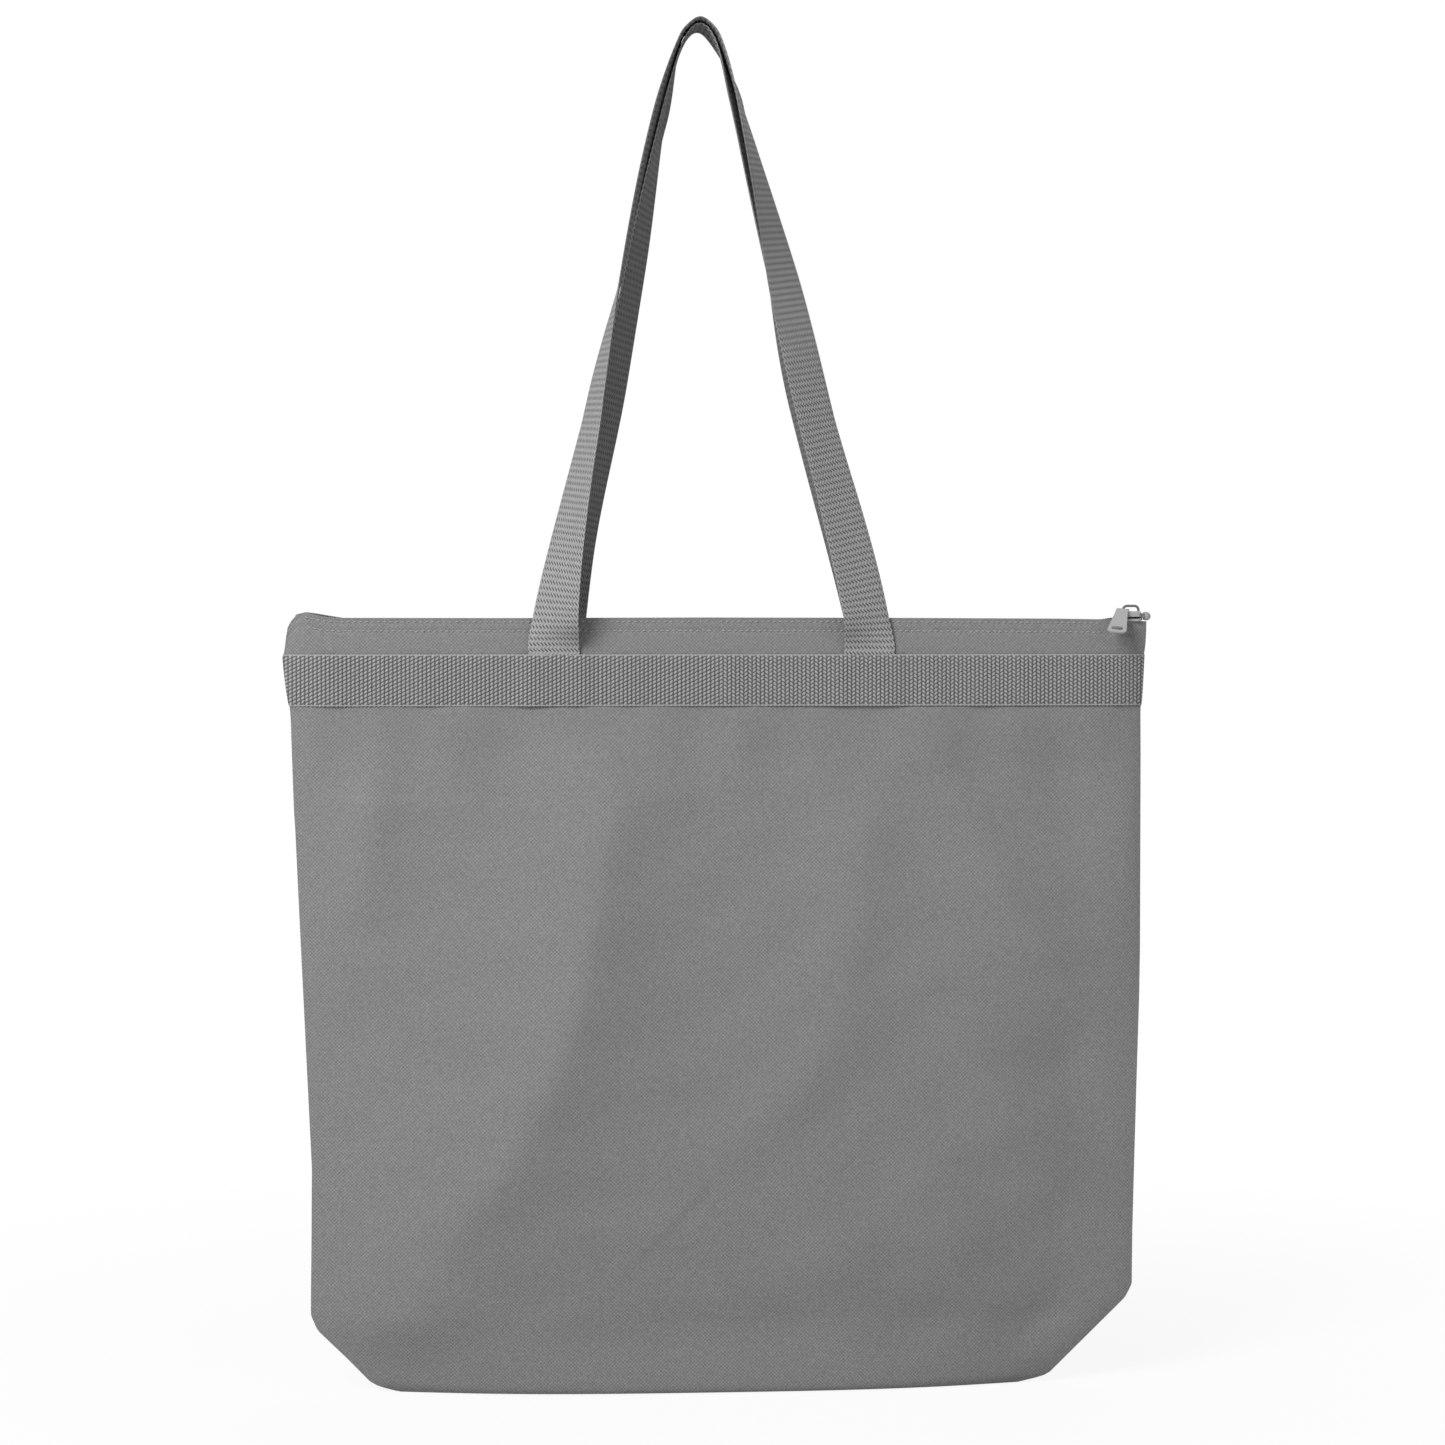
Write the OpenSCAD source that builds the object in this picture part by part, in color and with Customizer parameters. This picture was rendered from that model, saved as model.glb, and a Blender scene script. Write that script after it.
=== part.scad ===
// Zip-top tote in woven polyester: a soft body with cut base corners, a webbing band across
// each face, two webbing handles gathered at the top, and a coil zip with one slider.
// Millimetres, +Z up, front at -Y, origin on the ground under the middle of the base.

/* [Body] */
// Width of the body cloth at the band
body_w = 502; // [460:1:540]
// Width of the body cloth just above the cut corners
foot_w = 484; // [430:1:500]
// Height of the folded hem above the ground
body_h = 456; // [430:1:500]
// Height and run of the slanted base corners
corner_cut = 48; // [30:1:60]
// Depth of the bag at its fullest height
belly_d = 52; // [44:1:70]
// Depth of the base on the ground
base_d = 40; // [34:1:44]
// Depth over both hems at the mouth
mouth_d = 14.2; // [14:0.1:16]
// Depth over both cloths at a side seam
seam_d = 4; // [3.6:0.1:5]
// Thickness of the coated cloth
cloth_t = 0.8; // [0.5:0.1:0.9]
// Width of front cloth that stays with each side seam when the mouth opens
edge_w = 26; // [25:1:30]

/* [Webbing] */
// Width of the webbing
web_w = 30; // [25:1:32]
// Thickness of the webbing
web_t = 1.5; // [1.2:0.1:1.6]
// Length of band that stands past the cloth at each side
band_over = 3; // [0:0.5:5]
// Height of hem that shows above the band
hem_h = 21; // [18:1:30]
// Half the distance between the feet of the front handle
strap_x = 93; // [80:0.5:110]
// Sideways shift of the feet of the front handle
strap_shift = -4; // [-10:0.5:10]
// Height of the front handle's top above the band
handle_h = 374; // [340:1:400]
// Sideways shift of the gathered top of the handles
handle_shift = -11.5; // [-15:0.5:15]

/* [Zip] */
// Length of the slider
slider_l = 11; // [10:0.5:11]
// Width of the slider
slider_w = 9.2; // [9:0.1:9.3]
// Length of the pull tab past its bend
pull_l = 22; // [16:1:28]
// Width of the pull tab at its free end
pull_w = 11.5; // [8:0.5:12]
// Droop of the pull tab over the front hem
pull_droop = 38; // [25:1:40]

/* [Hidden] */
$fn = 48;

cloth_grey = "#868686";
web_grey = "#8c8c8c";
zip_grey = "#606060";
metal_grey = "#a6a6a8";

// Gaps between pieces that move past each other, and between sewn layers
clear = 0.3;
lay = 0.1;

// Body heights
base_t = 1;
belly_z = 70;
neck_z = 395;
edge_top = body_h - 3;
binding_top = body_h - 6;
binding_w = 11;
binding_t = 1.1;

// Webbing places
band_top = body_h - hem_h;
band_z = band_top - web_w;
foot_in = mouth_d / 2 + 0.45;
foot_mid = foot_in + web_t / 2;
foot_tuck = 3;
lap = foot_in + web_t + clear - mouth_d / 2 - lay;
lap_ramp = 4;
band_end = body_w / 2 + band_over;
band_split = body_w / 2 - edge_w;

// Handle shape: roundness of the top, and where the back handle differs from the front one
crown = 120;
nest_drop = 5;
back_wider = 2.5;
back_slip = 5;
handle_steps = 72;

// Zip: coil halves, tapes, sewn ends and stops
zip_half = body_w / 2 - edge_w + clear;
zip_z = body_h + 2;
coil_gap = 0.5;
coil_w = 2.4;
coil_t = 2.2;
coil_pitch = 2.4;
coil_notch = [1, 0.8];
tape_t = 0.45;
tape_y = 4.95;
tape_in = 1;
tape_h = 18;
tape_z = zip_z - coil_t / 2 - lay - tape_t;
end_from = zip_half + clear;
left_to = body_w / 2 - 1.3;
right_to = body_w / 2 + 1.3;
stop_l = 1.8;
stop_low = zip_z - coil_t / 2 - 0.3;
stop_high = zip_z + coil_t / 2 + 0.3;
stop_half = coil_gap + coil_w + 0.2;
tail_r = 2.8;
tail_l = 1;

// Slider, bridge and pull
slider_x = body_w / 2 - 4.4;
plate_t = 1;
plate_low = tape_z - 0.7 - plate_t;
plate_high = zip_z + coil_t / 2 + 0.5;
plate_top = plate_high + plate_t;
flange_t = 0.8;
web_plate_t = 0.6;
bridge_r = 0.75;
bridge_half = 4.6;
bridge_bend = 2.4;
bridge_z = plate_top + 3.2;
bar_r = 0.65;
pull_t = 1;
pull_skew = 12;
pull_slant = 8;
pull_corner = 2.6;
pull_back = 1.8;
pull_z = plate_top + 0.2 + bar_r;
eye_w = 7.4;
eye_l = 6.3;
eye_window = [3.5, 4.9];
slot_at = 18.4;
slot_w = 7.2;
slot_r = 1.6;

// Hem stitching: rows below the hem's edge and the thread's size
stitch_rows = [2.4, 7.7];
thread = 0.3;

function mix(a, b, t) = a + (b - a) * t;
function ease(a, b, v) = let (t = min(max((v - a) / (b - a), 0), 1)) t * t * (3 - 2 * t);
function unit(v) = v / norm(v);
function steps(a, b, n) = [for (i = [0:n]) mix(a, b, i / n)];
function reverse(v) = [for (i = [len(v) - 1:-1:0]) v[i]];
function cosh(u) = (exp(u) + exp(-u)) / 2;
function sinh(u) = (exp(u) - exp(-u)) / 2;

// Half the front outline, half the depth on the middle line, and the depth across the width
function half_w(z) =
    z < corner_cut
    ? foot_w / 2 - corner_cut + z
    : mix(foot_w / 2, body_w / 2, min((z - corner_cut) / (neck_z - corner_cut), 1));
function half_d(z) =
    z < belly_z
    ? mix(base_d / 2, belly_d / 2, sin(90 * z / belly_z))
    : mix(belly_d / 2, mouth_d / 2, ease(belly_z, neck_z, z));
function fullness(z) = mix(3, 18, ease(180, neck_z, z));
function depth(x, z) =
    let (u = min(abs(x) / half_w(z), 1))
    seam_d / 2 + (half_d(z) - seam_d / 2) * (1 - pow(u, fullness(z)));

// Heights of the rows of a cloth panel, with one row at the top of the cut corner
function row_heights(low, top) =
    concat(steps(low, corner_cut, 4), [for (i = [1:13]) mix(corner_cut, top, i / 13)]);

// A front cloth panel from rows of [x, z] points, with its outer face on the bag's outline
module cloth(grid) {
    h = len(grid);
    w = len(grid[0]);
    n = h * w;
    outer = [for (row = grid) for (p = row) [p[0], -depth(p[0], p[1]), p[1]]];
    inner = [for (p = outer) p + [0, cloth_t, 0]];
    skin = [for (j = [0:h - 2]) for (i = [0:w - 2]) let (a = j * w + i, b = a + w) each
        [[a, b, b + 1], [a, b + 1, a + 1], [n + a, n + b + 1, n + b], [n + a, n + a + 1, n + b + 1]]];
    ends = [for (i = [0:w - 2]) let (a = i, b = (h - 1) * w + i) each
        [[a, a + 1, n + a + 1], [a, n + a + 1, n + a], [b, n + b + 1, b + 1], [b, n + b, n + b + 1]]];
    sides = [for (j = [0:h - 2]) let (a = j * w, b = a + w - 1) each
        [[a, n + a, n + a + w], [a, n + a + w, a + w], [b, n + b + w, n + b], [b, b + w, n + b + w]]];
    polyhedron(concat(outer, inner), concat(skin, ends, sides));
}

// A strip that follows the mouth's outline in plan, standing off it by the gap at each x
module strip(xs, gaps, thick, z, height) {
    near = [for (i = [0:len(xs) - 1]) [xs[i], -depth(xs[i], body_h) - gaps[i]]];
    far = [for (p = near) p - [0, thick]];
    translate([0, 0, z])
        linear_extrude(height)
            polygon(concat(near, reverse(far)));
}

// A bar along X with its outline given in the YZ plane
module bar(from, to, outline) {
    translate([from, 0, 0])
        rotate([90, 0, 90])
            linear_extrude(to - from)
                polygon(outline);
}

module front_panel() {
    color(cloth_grey)
        cloth([for (z = row_heights(base_t + clear, body_h))
            [for (u = steps(-1, 1, 18)) [u * (half_w(z) - edge_w - clear), z]]]);
}

module front_panel_edges() {
    color(cloth_grey)
        for (side = [0, 1])
            mirror([side, 0, 0])
                cloth([for (z = row_heights(base_t, edge_top))
                    [for (u = steps(0, 1, 5)) [half_w(z) - edge_w * (1 - u), z]]]);
}

module back_panel() {
    drop = (zip_half + 0.2) * 2 / body_w;
    across = [for (x = steps(-zip_half, zip_half, 20)) x * 2 / body_w];
    us = concat(steps(-1, -drop, 5), across, steps(drop, 1, 5));
    tops = [for (u = us) abs(u) > drop - 0.0001 ? edge_top : body_h];
    heights = [for (top = tops) row_heights(base_t, top)];
    color(cloth_grey)
        mirror([0, 1, 0])
            cloth([for (j = [0:len(heights[0]) - 1])
                [for (i = [0:len(us) - 1]) let (z = heights[i][j]) [us[i] * half_w(z), z]]]);
}

module bottom_panel() {
    rim = [for (u = steps(-1, 1, 28)) let (x = u * half_w(base_t)) [x, depth(x, base_t)]];
    color(cloth_grey)
        linear_extrude(base_t)
            polygon(concat(rim, [for (p = reverse(rim)) [p[0], -p[1]]]));
}

// Tape that closes the raw edges of a side seam, or of the cut corner under it
module binding(heights) {
    outer = [for (z = heights) [half_w(z) - 0.8, z]];
    rotate([90, 0, 0])
        linear_extrude(binding_t, center = true)
            polygon(concat(outer, [for (p = reverse(outer)) p - [binding_w, 0]]));
}

module right_side_binding() {
    color(cloth_grey) binding([corner_cut + lay, neck_z, binding_top]);
}

module left_side_binding() {
    color(cloth_grey) mirror([1, 0, 0]) binding([corner_cut + lay, neck_z, binding_top]);
}

module right_corner_binding() {
    color(cloth_grey) binding([base_t + lay, corner_cut - lay]);
}

module left_corner_binding() {
    color(cloth_grey) mirror([1, 0, 0]) binding([base_t + lay, corner_cut - lay]);
}

// A length of band, raised where it laps over the feet of a handle
module band(from, to, n, handle) {
    xs = steps(from, to, n);
    edge = web_w / 2 + 1;
    gaps = [for (x = xs) lay + lap * (1 - ease(edge, edge + lap_ramp, abs(abs(x - handle[2]) - handle[1])))];
    strip(xs, gaps, web_t, band_z, web_w);
}

module front_band() {
    color(web_grey) band(-band_split + clear, band_split - clear, 112, outer_handle);
}

module front_band_ends() {
    color(web_grey)
        for (side = [0, 1])
            mirror([side, 0, 0]) band(band_split, band_end, 14, outer_handle);
}

module back_band() {
    color(web_grey) mirror([0, 1, 0]) band(-band_end, band_end, 126, inner_handle);
}

// Ends of a handle, sewn flat under the band
module handle_feet(handle) {
    for (x = [-handle[1], handle[1]])
        translate([handle[2] + x - web_w / 2, -foot_in - web_t, band_z + foot_tuck])
            cube([web_w, web_t, web_w - foot_tuck]);
}

module front_handle_feet() {
    color(web_grey) handle_feet(outer_handle);
}

module back_handle_feet() {
    color(web_grey) mirror([0, 1, 0]) handle_feet(inner_handle);
}

// A handle's middle line: s runs from -1 at the left foot, over the top at 0, to 1 at the right.
// Each handle is [height, half span, shift of its feet, distance of its top from the middle plane, shares
// of the height where tilt comes in and goes, tuck, pace, tilt, close, press]. Tuck to close are [left,
// right]: how far a side is drawn in, how soon it turns edge on, how far past that, and the shares of the
// height between which it closes in to the middle plane. Press is how far the top is flattened, and from
// which share of the height.
outer_handle = [
    handle_h, strap_x, strap_shift, 4.4, [0.3, 0.65, 0.8, 0.96],
    [-3, 1.6], [0.55, 1.85], [6.5, -4.5], [[0.08, 0.5], [0.11, 0.55]], [3, 0.965]
];
inner_handle = [
    handle_h - nest_drop, strap_x + back_wider, strap_shift + back_slip, 1, [0.15, 0.45, 0.66, 0.84],
    [5.6, 12], [0.52, 0.42], [-20, -3], [[0.1, 0.77], [0.25, 0.8]], [0.8, 0.95]
];

function of_side(s, pair) = s < 0 ? pair[0] : pair[1];
function sweep_of(h) = let (k = 1 + h / crown) ln(k + sqrt(k * k - 1));
function rise(s, h) = 1 - (cosh(s * sweep_of(h)) - 1) * crown / h;

// Turn of the webbing about its own length: flat on the bag at the foot, edge on at the top
function turn(s, shape) =
    let (t = max(rise(s, shape[0]), 0), at = shape[4])
    90 * sin(90 * pow(t, of_side(s, shape[6]))) * ease(0, 0.05, t)
        + of_side(s, shape[7]) * ease(at[0], at[1], t) * (1 - ease(at[2], at[3], t));

function middle(s, shape) =
    let (t = rise(s, shape[0]), close = of_side(s, shape[8]))
    let (swell = web_w / 2 * sin(turn(s, shape)) * (1 - ease(close[0], close[1], t)))
    [
        mix(shape[2], handle_shift, t) + shape[1] * sinh(s * sweep_of(shape[0])) / sinh(sweep_of(shape[0]))
            - sign(s) * of_side(s, shape[5]) * sin(180 * max(t, 0)),
        -mix(foot_mid, shape[3], ease(0.1, 0.95, t)) - swell,
        band_top + clear + shape[0] * t - shape[9][0] * ease(shape[9][1], 1, t)
    ];

function section(s, shape) =
    let (m = middle(s, shape))
    let (along = unit(middle(s + 0.002, shape) - middle(s - 0.002, shape)))
    let (inward = unit([along[2], 0, -along[0]]))
    let (flat = unit(mix([s < 0 ? 1 : -1, 0, 0], inward, ease(0, 0.12, rise(s, shape[0])))))
    let (across = cos(turn(s, shape)) * flat - [0, sin(turn(s, shape)), 0])
    let (face = unit(cross(across, along)))
    [for (c = [[1, 1], [-1, 1], [-1, -1], [1, -1]])
        m + c[0] * web_w / 2 * across + c[1] * web_t / 2 * face];

module handle(shape) {
    points = [for (s = steps(-1, 1, handle_steps)) each section(s, shape)];
    last = 4 * handle_steps;
    walls = [for (i = [0:handle_steps - 1]) for (k = [0:3])
        let (a = 4 * i + k, b = 4 * i + (k + 1) % 4) each
        k == 2 ? [[a, b, a + 4], [b, b + 4, a + 4]] : [[a, b, b + 4], [a, b + 4, a + 4]]];
    caps = [[0, 2, 1], [0, 3, 2], [last, last + 1, last + 2], [last, last + 2, last + 3]];
    polyhedron(points, concat(walls, caps));
}

module front_handle() {
    color(web_grey) handle(outer_handle);
}

module back_handle() {
    color(web_grey) mirror([0, 1, 0]) handle(inner_handle);
}

// One zip tape, bent from under the coil down into the hem
module tape(from, to, foot) {
    far = tape_y + tape_t;
    bar(from, to, [
        [-tape_in, tape_z], [-tape_in, tape_z + tape_t], [-far, tape_z + tape_t],
        [-far, foot], [-tape_y, foot], [-tape_y, tape_z]
    ]);
}

// One half of the coil, with its turns as teeth towards the other half
module coil(from, to) {
    n = floor((to - from) / coil_pitch);
    teeth = [for (i = [0:n - 1]) let (x = from + i * coil_pitch) each [
        [x, -coil_gap], [x + coil_pitch - coil_notch[0], -coil_gap],
        [x + coil_pitch - coil_notch[0], -coil_gap - coil_notch[1]],
        [x + coil_pitch, -coil_gap - coil_notch[1]]
    ]];
    back = -coil_gap - coil_w;
    translate([0, 0, zip_z - coil_t / 2])
        linear_extrude(coil_t)
            polygon(concat(teeth, [[from + n * coil_pitch, back], [from, back]]));
}

module front_zip_tape() {
    color(zip_grey) tape(-zip_half, zip_half, body_h - tape_h);
}

module back_zip_tape() {
    color(zip_grey) mirror([0, 1, 0]) tape(-zip_half, zip_half, body_h - tape_h);
}

module front_zip_coil() {
    color(zip_grey) coil(-zip_half, zip_half);
}

module back_zip_coil() {
    color(zip_grey) mirror([0, 1, 0]) coil(-zip_half, zip_half);
}

// The last stretch of both tapes and coils, sewn down beside the side seam
module zip_end(to) {
    for (side = [0, 1])
        mirror([0, side, 0]) {
            tape(end_from, to, edge_top + lay);
            coil(end_from, to);
        }
}

module left_zip_end() {
    color(zip_grey) mirror([1, 0, 0]) zip_end(left_to);
}

module right_zip_end() {
    tail_x = right_to + lay + stop_l + lay;
    color(zip_grey) {
        zip_end(right_to);
        translate([tail_x, 0, zip_z]) rotate([0, 90, 0]) cylinder(h = tail_l, r = tail_r);
        translate([tail_x + tail_l, 0, zip_z])
            intersection() {
                sphere(r = tail_r);
                translate([-tail_l / 2, -tail_r, -tail_r]) cube([tail_l + tail_r, 2 * tail_r, 2 * tail_r]);
            }
    }
}

module zip_top_stops() {
    at = right_to + lay;
    color(metal_grey)
        for (side = [0, 1])
            mirror([0, side, 0])
                bar(at, at + stop_l, [
                    [-coil_gap, stop_low], [-coil_gap, stop_high],
                    [-stop_half, stop_high], [-stop_half, stop_low]
                ]);
}

module zip_bottom_stop() {
    at = left_to + lay;
    color(metal_grey)
        mirror([1, 0, 0])
            bar(at, at + stop_l, [
                [stop_half, stop_low], [stop_half, stop_high],
                [-stop_half, stop_high], [-stop_half, stop_low]
            ]);
}

module slider_body() {
    half = slider_w / 2;
    in = half - flange_t;
    lip = tape_z + tape_t + 0.5;
    low_lip = tape_z - clear;
    end = slider_l / 2;
    upper = [
        [-half, lip], [-half, plate_top - 1.1], [-half + 1.5, plate_top],
        [half - 1.5, plate_top], [half, plate_top - 1.1], [half, lip],
        [in, lip], [in, plate_high], [-in, plate_high], [-in, lip]
    ];
    lower = [
        [-half, plate_low], [half, plate_low], [half, low_lip], [in, low_lip],
        [in, plate_low + plate_t], [-in, plate_low + plate_t], [-in, low_lip], [-half, low_lip]
    ];
    plan = [
        [-end, -3.4], [-2, -half], [end - 1.3, -half], [end, -half + 1],
        [end, half - 1], [end - 1.3, half], [-2, half], [-end, 3.4]
    ];
    color(metal_grey)
        translate([slider_x, 0, 0]) {
            intersection() {
                union() {
                    bar(-end, end, upper);
                    bar(-end, end, lower);
                }
                translate([0, 0, plate_low - 1]) linear_extrude(plate_top - plate_low + 2) polygon(plan);
            }
            translate([1.5, -web_plate_t / 2, plate_low + plate_t / 2])
                cube([end - 2, web_plate_t, plate_high - plate_low]);
        }
}

// The bridge is one round wire: two legs, two bends and a straight top
module slider_bridge() {
    straight = bridge_half - bridge_bend;
    bend_z = bridge_z - bridge_bend;
    color(metal_grey)
        translate([slider_x, 0, 0]) {
            translate([-straight, 0, bridge_z])
                rotate([0, 90, 0]) cylinder(h = 2 * straight, r = bridge_r);
            for (side = [0, 1])
                mirror([side, 0, 0]) {
                    translate([bridge_half, 0, plate_top]) cylinder(h = bend_z - plate_top, r = bridge_r);
                    translate([straight, 0, bend_z])
                        rotate([90, 0, 0])
                            rotate_extrude(angle = 90) translate([bridge_bend, 0]) circle(r = bridge_r);
                }
        }
}

// The pull hangs on the bridge's left leg. Its cross bar lies behind the leg and is the axis it lifts on.
module pull_tab() {
    color(metal_grey)
        translate([slider_x - bridge_half, pull_back, pull_z])
            rotate([0, 0, -pull_skew]) {
                translate([-eye_w / 2 - 0.2, 0, 0]) rotate([0, 90, 0]) cylinder(h = eye_w + 0.4, r = bar_r);
                difference() {
                    translate([-eye_w / 2, -eye_l, -pull_t / 2]) cube([eye_w, eye_l, pull_t]);
                    translate([-eye_window[0] / 2, -eye_window[1], -pull_t])
                        cube([eye_window[0], eye_window[1] + 1, 2 * pull_t]);
                }
                translate([0, -eye_l, 0])
                    rotate([pull_droop, 0, 0])
                        rotate([0, 0, -pull_slant]) translate([0, 0, -pull_t / 2])
                            linear_extrude(pull_t) difference() {
                                pull_outline();
                                pull_slot();
                            }
            }
}

module pull_outline() {
    root = eye_w / 2 - 0.4;
    right = [for (a = [-90:15:-15])
        [pull_w / 2 + pull_corner * (cos(a) - 1), pull_corner * (sin(a) + 1) - pull_l]];
    polygon(concat(
        [[root, 0.6]], [for (p = reverse(right)) p], [for (p = right) [-p[0], p[1]]], [[-root, 0.6]]
    ));
}

module pull_slot() {
    right = [for (a = [-90:15:90]) [slot_w / 2 - slot_r + slot_r * cos(a), slot_r * sin(a)]];
    translate([0, -slot_at])
        polygon(concat(right, [for (p = right) -p]));
}

// Two rows of hem stitching, each one running thread
module hem_stitching() {
    end = zip_half - 1.5;
    xs = steps(-end, end, 36);
    gaps = [for (x = xs) lay];
    for (below = stitch_rows)
        strip(xs, gaps, thread, body_h - below, thread);
}

module front_hem_stitching() {
    color(web_grey) hem_stitching();
}

module back_hem_stitching() {
    color(web_grey) mirror([0, 1, 0]) hem_stitching();
}

back_panel();
bottom_panel();
front_panel();
front_panel_edges();
left_side_binding();
right_side_binding();
left_corner_binding();
right_corner_binding();
front_band();
front_band_ends();
back_band();
front_handle();
front_handle_feet();
back_handle();
back_handle_feet();
front_zip_tape();
back_zip_tape();
front_zip_coil();
back_zip_coil();
left_zip_end();
right_zip_end();
zip_top_stops();
zip_bottom_stop();
slider_body();
slider_bridge();
pull_tab();
front_hem_stitching();
back_hem_stitching();
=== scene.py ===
"""Zip-top tote bag in mid grey woven polyester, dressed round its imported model.

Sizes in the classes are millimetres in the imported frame: X right, Y to the back, Z up.
"""

import logging
import math
from dataclasses import dataclass, field
from enum import Enum
from typing import Any, Sequence

import bpy
import numpy as np
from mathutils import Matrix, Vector


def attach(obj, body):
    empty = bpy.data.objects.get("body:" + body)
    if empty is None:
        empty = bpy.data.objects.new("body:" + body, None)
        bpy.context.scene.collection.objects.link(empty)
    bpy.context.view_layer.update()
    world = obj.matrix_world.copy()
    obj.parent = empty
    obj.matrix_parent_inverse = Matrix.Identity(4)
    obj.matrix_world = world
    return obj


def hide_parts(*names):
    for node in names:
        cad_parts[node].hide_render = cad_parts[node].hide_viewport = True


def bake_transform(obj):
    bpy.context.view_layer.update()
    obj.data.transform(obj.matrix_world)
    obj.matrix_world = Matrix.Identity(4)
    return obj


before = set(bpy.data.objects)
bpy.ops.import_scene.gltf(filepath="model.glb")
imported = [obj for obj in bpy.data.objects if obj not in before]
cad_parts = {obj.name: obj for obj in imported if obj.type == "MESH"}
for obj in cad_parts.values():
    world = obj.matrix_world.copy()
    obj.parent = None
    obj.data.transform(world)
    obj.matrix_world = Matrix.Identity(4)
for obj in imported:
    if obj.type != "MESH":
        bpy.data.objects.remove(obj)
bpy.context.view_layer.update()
LOG = logging.getLogger("tote")
MM = 0.001
Array = np.ndarray


# Small sums used all over


def mix(a: Any, b: Any, t: Any) -> Any:
    """Blends a into b as t goes from 0 to 1."""
    return a + (b - a) * t


def ease(low: Any, high: Any, value: Any) -> Any:
    """Smooth step from 0 at low to 1 at high."""
    t = np.clip((np.asarray(value, float) - low) / (high - low), 0, 1)
    return t * t * (3 - 2 * t)


def unit(vectors: Array) -> Array:
    """Scales vectors along the last axis to length one."""
    return vectors / np.maximum(np.linalg.norm(vectors, axis=-1, keepdims=True), 1e-9)


def soft_table(points: Sequence[tuple[float, float]], at: Any, blur: float) -> Array:
    """Reads a table of (place, value) points with its corners rounded off.

    Args:
        points: Pairs in order of place.
        at: Places to read.
        blur: Width over which a corner is rounded, in the unit of place.

    Returns:
        The value at each place.
    """
    places, values = np.array(points, float).T
    at = np.asarray(at, float)
    shifts = np.linspace(-1, 1, 13)
    weights = np.cos(shifts * math.pi / 2) + 0.05
    total = sum(w * np.interp(at + s * blur / 2, places, values) for s, w in zip(shifts, weights))
    return total / weights.sum()


def squared_off(wave: Array, power: float) -> Array:
    """Pushes a sine or cosine out towards a square wave, the more the smaller the power."""
    return np.sign(wave) * np.abs(wave) ** power


def linear(code: str) -> tuple[float, float, float, float]:
    """Turns an sRGB hex colour into linear RGBA.

    Args:
        code: Six hex digits after a hash.

    Returns:
        Red, green, blue and an alpha of one.
    """
    parts = [int(code[i : i + 2], 16) / 255 for i in (1, 3, 5)]
    red, green, blue = (c / 12.92 if c <= 0.04045 else ((c + 0.055) / 1.055) ** 2.4 for c in parts)
    return red, green, blue, 1.0


def add_node(tree: bpy.types.NodeTree, kind: str, settings: dict | None = None, **inputs: Any) -> Any:
    """Adds a shader node with its settings and links.

    Args:
        tree: The node tree.
        kind: Node type without its ShaderNode prefix.
        settings: Attributes of the node.
        inputs: Values or sockets by input name, with _ for a space, or in0, in1 for a place.

    Returns:
        The node.
    """
    made = tree.nodes.new("ShaderNode" + kind)
    for name, value in (settings or {}).items():
        setattr(made, name, value)
    for name, value in inputs.items():
        numbered = name[:2] == "in" and name[2:].isdigit()
        socket = made.inputs[int(name[2:]) if numbered else name.replace("_", " ")]
        if isinstance(value, bpy.types.NodeSocket):
            tree.links.new(value, socket)
        else:
            socket.default_value = value
    return made


def empty_tree(owner: Any) -> bpy.types.NodeTree:
    """Gives a material or a world a node tree with nothing in it.

    Args:
        owner: The material or world.

    Returns:
        The tree.
    """
    owner.use_nodes = True
    owner.node_tree.nodes.clear()
    return owner.node_tree


def add_object(name: str, data: Any) -> bpy.types.Object:
    """Adds an object to the scene.

    Args:
        name: Its name.
        data: Its mesh, light or camera.

    Returns:
        The object.
    """
    made = bpy.data.objects.new(name, data)
    bpy.context.scene.collection.objects.link(made)
    return made


# Finishes


class Weave(Enum):
    """How the threads of a cloth cross."""

    OXFORD = "plain basket of fine yarns"
    BEADS = "staggered floats in upright columns"
    CHEVRON = "floats in columns that swing left and right"
    KNIT = "fine warp knit"


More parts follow.
